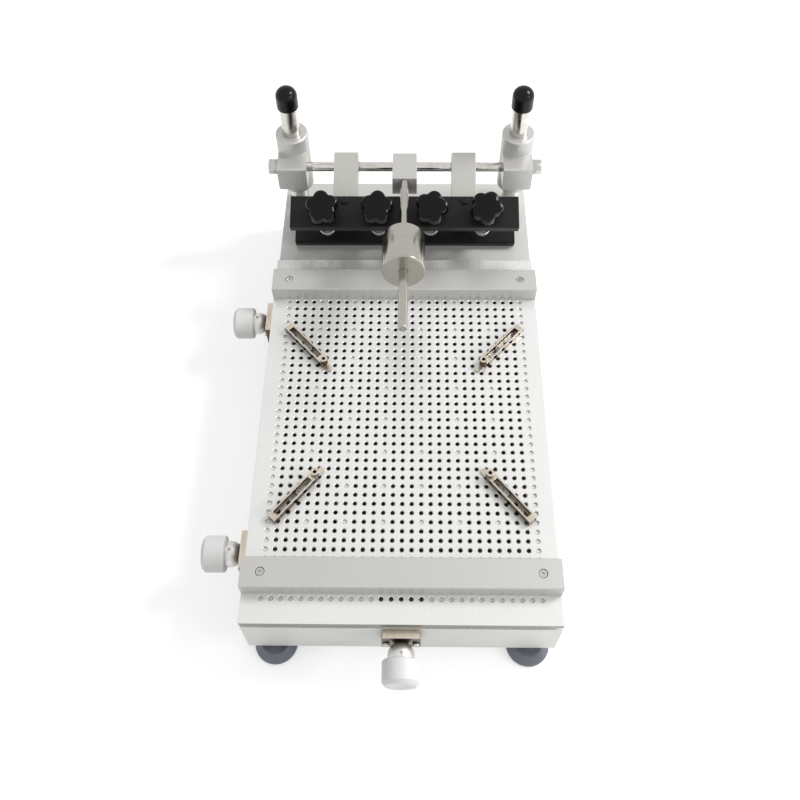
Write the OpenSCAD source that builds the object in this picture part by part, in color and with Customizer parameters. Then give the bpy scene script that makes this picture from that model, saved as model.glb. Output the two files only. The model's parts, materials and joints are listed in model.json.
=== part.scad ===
// Manual stencil printer: a hole plate on a hand-wheel adjusted stage, with a
// tilting clamp for the stencil frame on two posts and a swing-over counterweight.
// Millimetres, +Z up, front of the machine towards -Y.

/* [Base] */
// Width of the base casing
base_w = 320; // [300:1:360]
// Length of the base casing, front to back
base_len = 592; // [570:1:660]
// Height of the base casing
base_h = 66; // [64:1:90]
// Thickness of the casing's walls and deck
wall = 4; // [3:0.5:5]
// Thickness of the plate that closes the casing underneath
floor_t = 4; // [3:0.5:5]

/* [Feet] */
// Diameter of a rubber foot
foot_d = 46; // [36:1:52]
// Height of a rubber foot
foot_h = 14; // [10:1:20]
// Height of the levelling nut over a foot
foot_nut_h = 11; // [8:1:16]
// Diameter of the levelling stud
foot_stud_d = 6; // [5:0.5:8]
// Distance of a foot's axis from the side of the base
foot_side = 26; // [20:1:40]
// Distance of a front foot's axis from the front of the base
foot_front = 9; // [8:1:14]
// Distance of a rear foot's axis from the back of the base
foot_rear = 67; // [60:1:90]

/* [Hole plate] */
// Width of the hole plate
plate_w = 320; // [300:1:340]
// Length of the hole plate
plate_len = 450; // [430:1:470]
// Thickness of the hole plate
plate_t = 8; // [7:0.5:12]
// Air gap between the deck and the hole plate
plate_gap = 6; // [4:0.5:12]
// Diameter of a grid hole
hole_d = 4.5; // [3.5:0.1:5]
// Pitch of the grid holes
hole_pitch = 10; // [9:0.5:12]
// Least distance of the first hole column from the plate's side
grid_side = 20; // [16:1:25]
// Least distance of the first hole row from the plate's front edge
grid_end = 25; // [20:1:30]
// Depth of the blind grid holes
blind_depth = 2; // [1:0.5:2.5]

/* [Rest bars] */
// Depth of a rest bar, front to back
bar_depth = 31; // [24:1:36]
// Height of a rest bar
bar_h = 20; // [14:1:26]
// Chamfer along a rest bar's edges
bar_chamfer = 0.8; // [0.4:0.1:2]
// Head diameter of a rest bar's cap screw
bar_screw_d = 8; // [7:0.5:10]

/* [Adjusters] */
// Drop of the lead screws' axis below the deck
screw_drop = 19; // [18:0.5:20]
// Place of the side adjuster and of the stage's pivot behind the front of the base
side_y = 81; // [78:1:90]
// Place of the angle adjuster behind the front of the base
angle_y = 375; // [360:1:400]
// Diameter of a lead screw
lead_d = 8; // [6:0.5:10]
// Travel of the stage each way from its middle
travel = 8; // [4:0.5:10]
// Width of a screw bracket
bracket_w = 40; // [36:1:48]
// Height of a screw bracket
bracket_h = 32; // [28:1:34]
// Thickness of a screw bracket
bracket_t = 9; // [6:0.5:12]
// Diameter of the domed hub behind a knob
hub_d = 27; // [22:0.5:30]
// Length of the domed hub
hub_len = 16.7; // [14:0.1:18]
// Straight length of the domed hub next to its knob
hub_straight = 5; // [4:0.5:6]
// Diameter of an adjuster knob
knob_d = 38; // [32:1:38]
// Length of an adjuster knob
knob_len = 24; // [18:1:30]
// Chamfer of an adjuster knob's outer edge
knob_chamfer = 3.5; // [1:0.5:5]

/* [Stage] */
// Height of the glide pads under the swing bed
glide_h = 4; // [3:0.5:5]
// Thickness of the swing bed
bed_t = 6; // [5:0.5:7]
// Diameter of the guide rods
guide_d = 10; // [8:0.5:11]
// Thickness of the cross carriage's plate
carriage_t = 6; // [5:0.5:7]
// Thickness of the platform carrier's plate
carrier_t = 5; // [4:0.5:6]
// Diameter of the pillars that carry the hole plate
pillar_d = 16; // [12:0.5:18]
// Diameter of the drive pins under the lead screw nuts
drive_pin_d = 8; // [6:0.5:9]
// Diameter of the stage's pivot
pivot_d = 16; // [12:0.5:20]

/* [Posts] */
// Diameter of a post
post_d = 22; // [18:0.5:22.5]
// Height of a post over the deck
post_h = 193; // [180:1:220]
// Distance of a post's axis from the side of the base
post_side = 20; // [16:1:24]
// Distance of a post's axis from the back of the base
post_rear = 29; // [27:1:36]
// Diameter of a post's soft cap
cap_d = 26; // [25:0.5:30]
// Length of post that a cap covers
cap_cover = 26; // [15:1:30]
// Thickness of a cap's top
cap_top = 3; // [2:0.5:4]

/* [Hinge blocks] */
// Diameter of the sleeve on a post
sleeve_d = 40; // [34:1:44]
// Length of the sleeve on a post
sleeve_len = 90; // [80:1:100]
// Height of the sleeve over the deck
sleeve_lift = 35; // [30:1:40]
// Height of the hinge shaft over the deck
shaft_rise = 87; // [84:1:92]
// Distance of the hinge shaft in front of the posts
shaft_ahead = 22; // [20:1:26]
// Diameter of the hinge shaft
shaft_d = 12; // [10:0.5:14]
// Width of the block that holds the shaft's end
block_w = 36; // [32:1:38]
// Height of that block over the shaft's axis
block_rise = 14; // [12:1:18]
// Depth of that block below the shaft's axis
block_drop = 24; // [18:1:28]
// Distance of that block's front face from the shaft's axis
block_front = 18.5; // [14:0.5:24]
// Diameter of a lock bolt's head
lock_d = 19; // [14:1:22]
// Length of a lock bolt's head
lock_len = 12; // [6:1:14]

/* [Clamp] */
// Distance of an arm from the outer clamp screw beside it
arm_gap = 24.5; // [20.5:0.5:31.5]
// Width of an arm
arm_w = 30; // [22:1:30]
// Height of an arm
arm_h = 24; // [20:1:30]
// Reach of an arm behind the shaft's axis
arm_back = 15; // [12:1:18]
// Reach of an arm in front of the shaft's axis
arm_front = 64; // [60:1:68]
// Thickness of an arm's leg
leg_t = 18; // [14:1:24]
// Length of an arm's leg below the arm
leg_len = 34.5; // [30:0.5:38]
// Length of the upper clamp bar
upper_len = 276; // [260:1:290]
// Depth of the upper clamp bar
upper_depth = 40; // [36:1:46]
// Thickness of the upper clamp bar
upper_t = 15; // [10:0.5:18]
// Lap of the upper clamp bar on the arms
upper_lap = 15.4; // [13:0.2:17]
// Length of the lower clamp bar
lower_len = 281; // [260:1:290]
// Depth of the lower clamp bar
lower_depth = 40; // [36:1:46]
// Thickness of the lower clamp bar
lower_t = 13; // [11:0.5:16]
// Open height of the clamp's mouth
mouth = 16.5; // [10:0.5:20]
// Distance of the outer clamp screws from the upper bar's ends
clamp_end = 40.5; // [38:0.5:43]
// Distance of the clamp screws from the upper bar's back edge
clamp_inset = 22.4; // [22:0.1:26]
// Diameter of a clamp pad
pad_d = 21; // [14:1:22]
// Thickness of a clamp pad
pad_t = 6; // [5:0.5:9]
// Diameter of a star knob
star_d = 39; // [32:1:40]
// Height of a star knob
star_h = 20; // [16:1:24]
// Gap between a star knob and the upper bar
star_lift = 12; // [8:0.5:16]
// Diameter of a clamp screw
spindle_d = 8; // [6:0.5:9]

/* [Counterweight] */
// Rise of the counterweight's rod from level
rod_rise = 9; // [8:1:12]
// Height of the rod's axis over the shaft's, square to the rod
rod_raise = 6; // [5:0.5:7]
// Width of the counterweight's hinge block
weight_block_w = 30; // [22:1:36]
// Height of the counterweight's hinge block
weight_block_h = 26; // [22:1:30]
// Reach of the counterweight's hinge block in front of the shaft's axis
weight_block_len = 39; // [32:1:46]
// Diameter of the counterweight's rod
rod_d = 10; // [8:0.5:12]
// Reach of the rod from the shaft's axis
rod_reach = 281; // [275:1:295]
// Diameter of the counterweight
weight_d = 48; // [40:1:54]
// Length of the counterweight
weight_len = 56; // [46:1:66]
// Distance of the counterweight's middle from the shaft's axis
weight_at = 168; // [162:1:176]

/* [Fixtures] */
// Length of a fixture's rail
rail_len = 66; // [60:1:70]
// Width of a fixture's rail
rail_w = 10; // [9:0.5:12]
// Height of a fixture's rail
rail_h = 9; // [7:0.5:12]
// Wall beside a rail's channel
rail_wall = 1.6; // [1.2:0.1:1.9]
// Thickness of a rail's floor
rail_floor = 2; // [1.5:0.1:2.5]
// Length of rail behind its screw
rail_tail = 40; // [36:1:42]
// Diameter of the peg at a rail's inner end
peg_d = 9; // [7:0.5:11]
// Height of the peg
peg_h = 13; // [11:0.5:16]
// Turn of the front fixtures from the cross direction
front_turn = 50; // [40:1:55]
// Turn of the rear fixtures from the cross direction
rear_turn = 47; // [40:1:55]

/* [Fits] */
// Radial clearance of a shaft that runs in a bore
run_fit = 0.05; // [0.02:0.01:0.1]
// Radial clearance of pieces that are seated on each other
seat_fit = 0.02; // [0.01:0.01:0.05]
// Gap between sliding or turning faces
slide_gap = 0.3; // [0.2:0.05:0.5]
// Clearance of a drive pin in its slot
pin_play = 0.4; // [0.3:0.05:0.6]

/* [Hidden] */
$fn = 48;
fixture_names = ["front_left", "front_right", "rear_left", "rear_right"];
eps = 0.5;

// Heights of the base and the plate
base_z0 = foot_h + foot_nut_h;
floor_z1 = base_z0 + floor_t;
deck_z1 = base_z0 + base_h;
deck_z0 = deck_z1 - wall;
plate_z0 = deck_z1 + plate_gap;
plate_z1 = plate_z0 + plate_t;
screw_z = deck_z1 - screw_drop;

// Grid of holes in the plate
grid_cols = floor((plate_w - 2 * grid_side) / hole_pitch) + 1;
grid_rows = floor((plate_len - 2 * grid_end) / hole_pitch) + 1;
function grid_x(c) = (c - (grid_cols - 1) / 2) * hole_pitch;
function grid_y(r) = plate_len / 2 + (r - (grid_rows - 1) / 2) * hole_pitch;
front_bar_row = 2;
rear_bar_row = grid_rows - 3;
fixture_col = 3;
fixture_front_row = 11;
fixture_rear_row = grid_rows - 12;
blind_step = 4;
front_open_half = 2;
function under_bar(r) =
    min(abs(grid_y(r) - grid_y(front_bar_row)), abs(grid_y(r) - grid_y(rear_bar_row))) < bar_depth / 2;
function is_blind(c, r) = !under_bar(r) && (
    c == 0 || c == grid_cols - 1 ||
    (r == 0 && abs(c - (grid_cols - 1) / 2) > front_open_half) ||
    (c % blind_step == 0 && r % blind_step == 0 && r < rear_bar_row));
bar_screw_h = 4;
bar_screw_sink = 5;
thread_d = 4;

// Pillars stand in the middle of grid cells, clear of the grid's holes
pillar_column = 6;
pillar_front_row = 10;
pillar_rear_row = grid_rows - 15;
pillar_x = -grid_x(pillar_column) - hole_pitch / 2;
pillar_front_y = grid_y(pillar_front_row) + hole_pitch / 2;
pillar_rear_y = grid_y(pillar_rear_row) + hole_pitch / 2;
pillar_places = [for (s = [-1, 1], y = [pillar_front_y, pillar_rear_y]) [s * pillar_x, y]];
carrier_screw_d = 5;
carrier_head_d = 8.5;
carrier_head_h = 5;
carrier_screw_bite = 5;

// Levels of the stage, stacked up from the floor
pad_top_z = floor_z1 + glide_h;
bed_z0 = pad_top_z + slide_gap;
bed_z1 = bed_z0 + bed_t;
rod_lift = guide_d / 2 + 2;
holder_cap = 3;
level_gap = 1;
x_rod_z = bed_z1 + rod_lift;
carriage_z0 = x_rod_z + guide_d / 2 + holder_cap + level_gap;
carriage_z1 = carriage_z0 + carriage_t;
y_rod_z = carriage_z1 + rod_lift;
carrier_z0 = y_rod_z + guide_d / 2 + holder_cap + level_gap;
carrier_z1 = carrier_z0 + carrier_t;

// Plan of the stage
swing_reach = angle_y - side_y;
swing_max = travel / swing_reach;
bearing_len = 30;
bearing_w = 18;
holder_len = 14;
y_rod_x = pillar_x - carrier_head_d / 2 - bearing_w / 2 - 2;
x_bearing_x = pillar_x - 5;
x_holder_x = x_bearing_x + bearing_len / 2 + travel + level_gap + holder_len / 2;
x_rod_out = 10;
y_holder_out = 12;
x_rod_front = pillar_front_y - x_rod_out;
x_rod_rear = pillar_rear_y + x_rod_out;
y_holder_front = pillar_front_y - y_holder_out;
y_holder_rear = pillar_rear_y + y_holder_out;
y_bearing_front = y_holder_front + holder_len / 2 + travel + bearing_len / 2 + level_gap;
y_bearing_rear = y_holder_rear - holder_len / 2 - travel - bearing_len / 2 - level_gap;
carriage_margin = 20;
carriage_y0 = x_rod_front - carriage_margin;
carriage_y1 = x_rod_rear + carriage_margin;
carriage_half = x_bearing_x + carriage_margin;
nut_size = 16;
nut_inset = 34;
nut_x = -base_w / 2 + nut_inset;
slot_wall = 6;
slot_w = drive_pin_d + 2 * pin_play;
side_shift = nut_x * -swing_max;
side_slot_len = slot_w + 2 * side_shift + 2;
front_slot_len = slot_w + 2 * (travel + swing_max * abs(nut_inset - side_y)) + 2;
bed_x0 = nut_x - slot_w / 2 - slot_wall;
bed_x1 = x_holder_x + holder_len / 2 + 2;
bed_y0 = side_y - pivot_d - 2;
bed_y1 = angle_y + side_slot_len / 2 + slot_wall;
tongue_w = front_slot_len + 2 * slot_wall;
tongue_t = 5;
tongue_z1 = screw_z - nut_size / 2 - 1.5;
tongue_y0 = nut_inset - slot_w / 2 - slot_wall;
riser_y = nut_inset + nut_size / 2 + 2 * travel + 2;
riser_t = 8;
pillar_swing = swing_max * (pillar_rear_y - side_y);
pillar_slack = 2;
deck_hole_d = pillar_d + 2 * norm([travel + pillar_swing, travel + swing_max * pillar_x]) + pillar_slack;
pivot_flange = 5;
glide_d = 30;
glide_left = 50;
glide_in = 40;
glide_front = 10;
glide_places = [for (x = [bed_x0 + glide_left, bed_x1 - glide_in], y = [x_rod_front + glide_front, bed_y1 - glide_in])
    [x, y]];

// Base fittings
foot_x = base_w / 2 - foot_side;
foot_places = [for (s = [-1, 1], y = [foot_front, base_len - foot_rear]) [s * foot_x, y]];
foot_bite = 18;
boss_d = foot_stud_d + 8;
floor_screw_x = base_w / 2 - wall - 5;
floor_screw_front = 24;
floor_screw_rear = 60;
floor_screw_places = [for (s = [-1, 1], y = [foot_front + floor_screw_front, angle_y + floor_screw_rear])
    [s * floor_screw_x, y]];
floor_boss_d = 12;
floor_head_d = 7;
floor_head_h = 2.2;
floor_screw_bite = 12;

// Adjusters: place of the wall face, outward turn, roll that brings the set screw on top
adjusters = [
    [[0, 0, screw_z], [-90, 0, 0], 90],
    [[-base_w / 2, side_y, screw_z], [0, 90, 0], 0],
    [[-base_w / 2, angle_y, screw_z], [0, 90, 0], 0]];
knob_face = bracket_t + slide_gap + hub_len;
knob_end = knob_face + knob_len;
knob_bite = 14;
collar_d = 16;
collar_len = 5;
bracket_screw_x = bracket_w / 2 - 5;
bracket_head_d = 7;
bracket_head_h = 2.5;
bracket_screw_bite = 3;
set_screw_d = 3.5;
set_screw_depth = 3;

// Posts and hinge blocks
post_x = base_w / 2 - post_side;
post_y = base_len - post_rear;
post_z1 = deck_z1 + post_h;
post_stud_d = 12;
post_nut_af = 19;
post_nut_h = 10;
post_stud_len = wall + post_nut_h + 4;
sleeve_z0 = deck_z1 + sleeve_lift;
shaft_y = post_y - shaft_ahead;
shaft_z = deck_z1 + shaft_rise;
block_inner = post_x - block_w / 2;
shaft_bite = 28;
shaft_half = block_inner + shaft_bite - slide_gap;
lock_thread_d = 8;
sleeve_rim = 1.5;
block_bevel = 4;

// Clamp, drawn about the shaft: y is minus the reach u, z is the height w
leg_u = arm_front - leg_t;
lower_top = -arm_h / 2 - leg_len;
lower_bottom = lower_top - lower_t;
lower_u0 = leg_u - 1;
lower_u1 = lower_u0 + lower_depth;
upper_u0 = arm_front - upper_lap;
upper_u1 = upper_u0 + upper_depth;
upper_w0 = arm_h / 2;
upper_w1 = upper_w0 + upper_t;
stop_h = shaft_rise - slide_gap;
clamp_tilt = asin(stop_h / norm([lower_u1, lower_bottom])) - atan2(-lower_bottom, lower_u1);
clamp_u = upper_u0 + clamp_inset;
clamp_pitch = (upper_len - 2 * clamp_end) / 3;
clamp_xs = [for (i = [0:3]) (i - 1.5) * clamp_pitch];
arm_x = clamp_xs[3] - arm_gap;
pad_w0 = lower_top + mouth;
pad_w1 = pad_w0 + pad_t;
pad_seat = 3.5;
star_w0 = upper_w1 + star_lift;
star_hub_d = 15;
star_hub_h = 4;
star_lobes = 5;
star_core = 0.62;
bar_bolt_u = upper_u0 + 6.1;
bar_bolt_d = 5;
bar_bolt_head_d = 9;
bar_bolt_head_h = 3;
bar_bolt_bite = 14;
lower_bolt_u = (leg_u + arm_front) / 2;

// Counterweight
weight_block_back = shaft_d / 2 + 6;
rod_seat = 20;
weight_chamfer = 1;

// Fixtures: grid hole of the screw and turn of the rail, which points to the plate's middle
fixtures = [
    [fixture_col, fixture_front_row, front_turn],
    [grid_cols - 1 - fixture_col, fixture_front_row, 180 - front_turn],
    [fixture_col, fixture_rear_row, -rear_turn],
    [grid_cols - 1 - fixture_col, fixture_rear_row, 180 + rear_turn]];
rail_z0 = slide_gap;
rail_head_d = rail_w - 2 * rail_wall - 0.8;
rail_head_h = 3.5;
channel_back = rail_tail - 6;
channel_front = rail_len - rail_tail - 8;
toe_len = 8;
toe_t = 1.6;
toe_w = 7;

// Middle of the part's own box on the bench
x_low = -base_w / 2 - knob_end;
x_high = max(base_w / 2, post_x + block_w / 2 + lock_len, plate_w / 2);
y_low = -knob_end;
part_origin = [(x_low + x_high) / 2, (y_low + base_len) / 2, 0];
module at_origin() translate(-part_origin) children();

// A profile drawn in the (y, z) plane and drawn out along x
module along_x(x0, x1) translate([x0, 0, 0]) rotate([90, 0, 90]) linear_extrude(x1 - x0) children();

// Rectangle with bevelled corners
module bevelled(p0, p1, c) polygon([
    [p0.x + c, p0.y], [p1.x - c, p0.y], [p1.x, p0.y + c], [p1.x, p1.y - c],
    [p1.x - c, p1.y], [p0.x + c, p1.y], [p0.x, p1.y - c], [p0.x, p0.y + c]]);

// Box between two corners
module box(p0, p1) translate(p0) cube(p1 - p0);

// Upright round piece at a place in plan, between two heights
module upright(p, z0, z1, d) translate([p.x, p.y, z0]) cylinder(d = d, h = z1 - z0);

// Round-ended slot, its middle at the origin, longer along x
module slot(len, w, h) {
    for (s = [-1, 1]) translate([s * (len - w) / 2, 0, 0]) cylinder(d = w, h = h);
    translate([-(len - w) / 2, -w / 2, 0]) cube([len - w, w, h]);
}

// Frame of an adjuster: the wall's face at z 0, +z into the machine
module on_adjuster(i) translate(adjusters[i][0]) rotate(adjusters[i][1]) rotate([0, 0, adjusters[i][2]]) children();

// Frame of the clamp, about the hinge shaft
module on_clamp() translate([0, shaft_y, shaft_z]) rotate([clamp_tilt, 0, 0]) children();

// Frame of the counterweight, about the hinge shaft, +z along the rod
module on_rod() translate([0, shaft_y, shaft_z]) rotate([90 - rod_rise, 0, 0]) children();

// Frame of a fixture on the plate, +x along the rail to the plate's middle
module on_fixture(i) translate([grid_x(fixtures[i][0]), grid_y(fixtures[i][1]), plate_z1])
    rotate([0, 0, fixtures[i][2]]) children();

module base_casing() color("gainsboro") at_origin() difference() {
    union() {
        difference() {
            box([-base_w / 2, 0, base_z0], [base_w / 2, base_len, deck_z1]);
            box([-base_w / 2 + wall, wall, base_z0 - eps], [base_w / 2 - wall, base_len - wall, deck_z0]);
        }
        for (p = foot_places) upright(p, floor_z1, deck_z0 + eps, boss_d);
        for (p = floor_screw_places) upright(p, floor_z1, deck_z0 + eps, floor_boss_d);
    }
    for (p = foot_places) upright(p, base_z0, floor_z1 + foot_bite, foot_stud_d + 2 * seat_fit);
    for (p = floor_screw_places) upright(p, base_z0, floor_z1 + floor_screw_bite + 1, thread_d + 2 * seat_fit);
    for (p = pillar_places) upright(p, deck_z0 - eps, deck_z1 + eps, deck_hole_d);
    for (s = [-1, 1]) upright([s * post_x, post_y], deck_z0 - eps, deck_z1 + eps, post_stud_d + 2 * seat_fit);
    for (i = [0:2]) on_adjuster(i) {
        translate([0, 0, -eps]) cylinder(d = lead_d + 2 * run_fit, h = wall + 2 * eps);
        for (s = [-1, 1]) translate([0, s * bracket_screw_x, -eps])
            cylinder(d = thread_d + 2 * seat_fit, h = bracket_screw_bite + 2 * eps);
    }
}

module base_floor() color("silver") at_origin() difference() {
    box([-base_w / 2 + wall + slide_gap, wall + slide_gap, base_z0],
        [base_w / 2 - wall - slide_gap, base_len - wall - slide_gap, floor_z1]);
    for (p = foot_places) upright(p, base_z0 - eps, floor_z1 + eps, foot_stud_d + 2 * seat_fit);
    for (p = floor_screw_places) {
        upright(p, base_z0 - eps, floor_z1 + eps, thread_d + 2 * seat_fit);
        upright(p, base_z0 - eps, base_z0 + floor_head_h, floor_head_d + 2 * seat_fit);
    }
    upright([0, side_y], base_z0 - eps, floor_z1 + eps, pivot_d / 2 + 2 * seat_fit);
}

module floor_screws() color("dimgray") at_origin() for (p = floor_screw_places) {
    upright(p, base_z0, base_z0 + floor_head_h, floor_head_d);
    upright(p, base_z0, floor_z1 + floor_screw_bite, thread_d);
}

module foot_pads() color("darkslategray") at_origin() for (p = foot_places) translate([p.x, p.y, 0])
    difference() {
        rotate_extrude() polygon([
            [0, 0], [foot_d / 2 - 3, 0], [foot_d / 2, 3], [foot_d / 2, foot_h / 2 - 1],
            [foot_d / 2 - 1.5, foot_h / 2 + 0.5], [foot_d / 3, foot_h], [0, foot_h]]);
        translate([0, 0, foot_h / 2]) cylinder(d = foot_stud_d + 2 * seat_fit, h = foot_h);
    }

module foot_studs() color("silver") at_origin() for (p = foot_places) {
    upright(p, foot_h / 2, floor_z1 + foot_bite - 1, foot_stud_d);
    translate([p.x, p.y, foot_h]) cylinder(d = 2 * foot_stud_d + 4, h = foot_nut_h, $fn = 6);
}

module adjuster_brackets() color("silver") at_origin() for (i = [0:2]) on_adjuster(i) difference() {
    translate([0, 0, -bracket_t]) linear_extrude(bracket_t)
        bevelled([-bracket_h / 2 - 2, -bracket_w / 2], [bracket_h / 2 - 2, bracket_w / 2], 2);
    translate([0, 0, -bracket_t - eps]) cylinder(d = lead_d + 2 * run_fit, h = bracket_t + 2 * eps);
    for (s = [-1, 1]) translate([0, s * bracket_screw_x, -bracket_t - eps])
        cylinder(d = thread_d + 2 * seat_fit, h = bracket_t + 2 * eps);
}

module bracket_screws() color("dimgray") at_origin() for (i = [0:2], s = [-1, 1])
    on_adjuster(i) translate([0, s * bracket_screw_x, -bracket_t]) {
        translate([0, 0, -bracket_head_h]) cylinder(d = bracket_head_d, h = bracket_head_h);
        cylinder(d = thread_d, h = bracket_t + bracket_screw_bite);
    }

module posts() color("lightgray") at_origin() for (s = [-1, 1]) {
    upright([s * post_x, post_y], deck_z1, post_z1, post_d);
    upright([s * post_x, post_y], deck_z1 - post_stud_len, deck_z1 + eps, post_stud_d);
}

module post_nuts() color("dimgray") at_origin() for (s = [-1, 1])
    translate([s * post_x, post_y, deck_z0 - post_nut_h]) difference() {
        cylinder(d = post_nut_af / cos(30), h = post_nut_h, $fn = 6);
        translate([0, 0, -eps]) cylinder(d = post_stud_d + 2 * seat_fit, h = post_nut_h + 2 * eps);
    }

module post_caps() color("black") at_origin() for (s = [-1, 1])
    translate([s * post_x, post_y, post_z1 - cap_cover]) rotate_extrude() {
        wall_r = post_d / 2 + seat_fit;
        round_r = cap_d / 3;
        top_z = cap_cover + cap_top;
        polygon(concat(
            [[wall_r, 0], [cap_d / 2, 0]],
            [for (a = [0:18:90]) [cap_d / 2 - round_r * (1 - cos(a)), top_z - round_r * (1 - sin(a))]],
            [[0, top_z], [0, cap_cover + seat_fit], [wall_r, cap_cover + seat_fit]]));
    }

module pivot_pin() color("silver") at_origin() {
    upright([0, side_y], base_z0, floor_z1 + eps, pivot_d / 2);
    upright([0, side_y], floor_z1, pad_top_z, pivot_d + 2 * pivot_flange);
    upright([0, side_y], pad_top_z, bed_z1 + 2, pivot_d);
}

module glide_pads() color("ivory") at_origin() for (p = glide_places) upright(p, floor_z1, pad_top_z, glide_d);

module swing_bed() color("silver") at_origin() difference() {
    union() {
        box([bed_x0, bed_y0, bed_z0], [bed_x1, bed_y1, bed_z1]);
        for (s = [-1, 1], y = [x_rod_front, x_rod_rear])
            box([s * x_holder_x - holder_len / 2, y - bearing_w / 2, bed_z0],
                [s * x_holder_x + holder_len / 2, y + bearing_w / 2, x_rod_z + guide_d / 2 + holder_cap]);
    }
    upright([0, side_y], bed_z0 - eps, bed_z1 + eps, pivot_d + 2 * run_fit);
    translate([nut_x, angle_y, bed_z0 - eps]) rotate([0, 0, 90]) slot(side_slot_len, slot_w, bed_t + 2 * eps);
    for (y = [x_rod_front, x_rod_rear]) translate([-x_holder_x - holder_len, y, x_rod_z])
        rotate([0, 90, 0]) cylinder(d = guide_d + 2 * seat_fit, h = 2 * (x_holder_x + holder_len));
    box([-x_bearing_x, x_rod_front + bearing_len, bed_z0 - eps], [x_bearing_x, x_rod_rear - bearing_len, bed_z1 + eps]);
}

module x_guide_rods() color("lightgray") at_origin() for (y = [x_rod_front, x_rod_rear])
    translate([-x_holder_x - holder_len / 2, y, x_rod_z]) rotate([0, 90, 0])
        cylinder(d = guide_d, h = 2 * x_holder_x + holder_len);

module x_carriage() color("silver") at_origin() difference() {
    union() {
        box([-carriage_half, carriage_y0, carriage_z0], [carriage_half, carriage_y1, carriage_z1]);
        box([nut_x - slot_w / 2 - slot_wall, side_y - side_slot_len / 2 - slot_wall, carriage_z0],
            [-carriage_half + carriage_margin, x_rod_front + bearing_w / 2, carriage_z1]);
        for (s = [-1, 1], y = [x_rod_front, x_rod_rear])
            box([s * x_bearing_x - bearing_len / 2, y - bearing_w / 2, bed_z1 + level_gap],
                [s * x_bearing_x + bearing_len / 2, y + bearing_w / 2, carriage_z1]);
        for (s = [-1, 1], y = [y_holder_front, y_holder_rear])
            box([s * y_rod_x - bearing_w / 2, y - holder_len / 2, carriage_z0],
                [s * y_rod_x + bearing_w / 2, y + holder_len / 2, y_rod_z + guide_d / 2 + holder_cap]);
    }
    translate([nut_x, side_y, carriage_z0 - eps]) rotate([0, 0, 90]) slot(side_slot_len, slot_w, carriage_t + 2 * eps);
    for (y = [x_rod_front, x_rod_rear]) translate([-carriage_half - eps, y, x_rod_z]) rotate([0, 90, 0])
        cylinder(d = guide_d + 2 * run_fit, h = 2 * (carriage_half + eps));
    for (s = [-1, 1]) translate([s * y_rod_x, y_holder_front - holder_len, y_rod_z]) rotate([-90, 0, 0])
        cylinder(d = guide_d + 2 * seat_fit, h = y_holder_rear - y_holder_front + 2 * holder_len);
    box([-x_bearing_x / 2, x_rod_front + bearing_len, carriage_z0 - eps],
        [x_bearing_x / 2, x_rod_rear - bearing_len, carriage_z1 + eps]);
}

module y_guide_rods() color("lightgray") at_origin() for (s = [-1, 1])
    translate([s * y_rod_x, y_holder_front - holder_len / 2, y_rod_z]) rotate([-90, 0, 0])
        cylinder(d = guide_d, h = y_holder_rear - y_holder_front + holder_len);

module platform_carrier() color("silver") at_origin() difference() {
    union() {
        box([-pillar_x - pillar_d / 2 - 4, pillar_front_y - pillar_d / 2 - 4, carrier_z0],
            [pillar_x + pillar_d / 2 + 4, pillar_rear_y + pillar_d / 2 + 4, carrier_z1]);
        for (p = pillar_places) upright(p, carrier_z0, plate_z0, pillar_d);
        for (s = [-1, 1], y = [y_bearing_front, y_bearing_rear])
            box([s * y_rod_x - bearing_w / 2, y - bearing_len / 2, carriage_z1 + level_gap],
                [s * y_rod_x + bearing_w / 2, y + bearing_len / 2, carrier_z1]);
        box([-tongue_w / 2, riser_y, carrier_z0], [tongue_w / 2, pillar_front_y, carrier_z1]);
        box([-tongue_w / 2, riser_y, tongue_z1 - tongue_t], [tongue_w / 2, riser_y + riser_t, carrier_z1]);
        box([-tongue_w / 2, tongue_y0, tongue_z1 - tongue_t], [tongue_w / 2, riser_y + riser_t, tongue_z1]);
    }
    translate([0, nut_inset, tongue_z1 - tongue_t - eps]) slot(front_slot_len, slot_w, tongue_t + 2 * eps);
    for (s = [-1, 1]) translate([s * y_rod_x, y_holder_front, y_rod_z]) rotate([-90, 0, 0])
        cylinder(d = guide_d + 2 * run_fit, h = y_holder_rear - y_holder_front);
    for (p = pillar_places) upright(p, carrier_z0 - eps, plate_z0 + eps, carrier_screw_d + 2 * seat_fit);
    box([-x_bearing_x / 2, x_rod_front + bearing_len, carrier_z0 - eps],
        [x_bearing_x / 2, x_rod_rear - bearing_len, carrier_z1 + eps]);
}

module carrier_screws() color("dimgray") at_origin() for (p = pillar_places) {
    upright(p, carrier_z0 - carrier_head_h, carrier_z0, carrier_head_d);
    upright(p, carrier_z0 - eps, plate_z0 + carrier_screw_bite - eps, carrier_screw_d);
}

module hole_plate() color("lightgray") at_origin() difference() {
    translate([0, 0, plate_z0]) linear_extrude(plate_t) difference() {
        translate([-plate_w / 2, 0]) square([plate_w, plate_len]);
        for (c = [0:grid_cols - 1], r = [0:grid_rows - 1])
            if (!is_blind(c, r)) translate([grid_x(c), grid_y(r)]) circle(d = hole_d);
    }
    for (c = [0:grid_cols - 1], r = [0:grid_rows - 1])
        if (is_blind(c, r)) upright([grid_x(c), grid_y(r)], plate_z1 - blind_depth, plate_z1 + eps, hole_d);
    for (p = pillar_places) upright(p, plate_z0 - eps, plate_z0 + carrier_screw_bite, carrier_screw_d + 2 * seat_fit);
}

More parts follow.
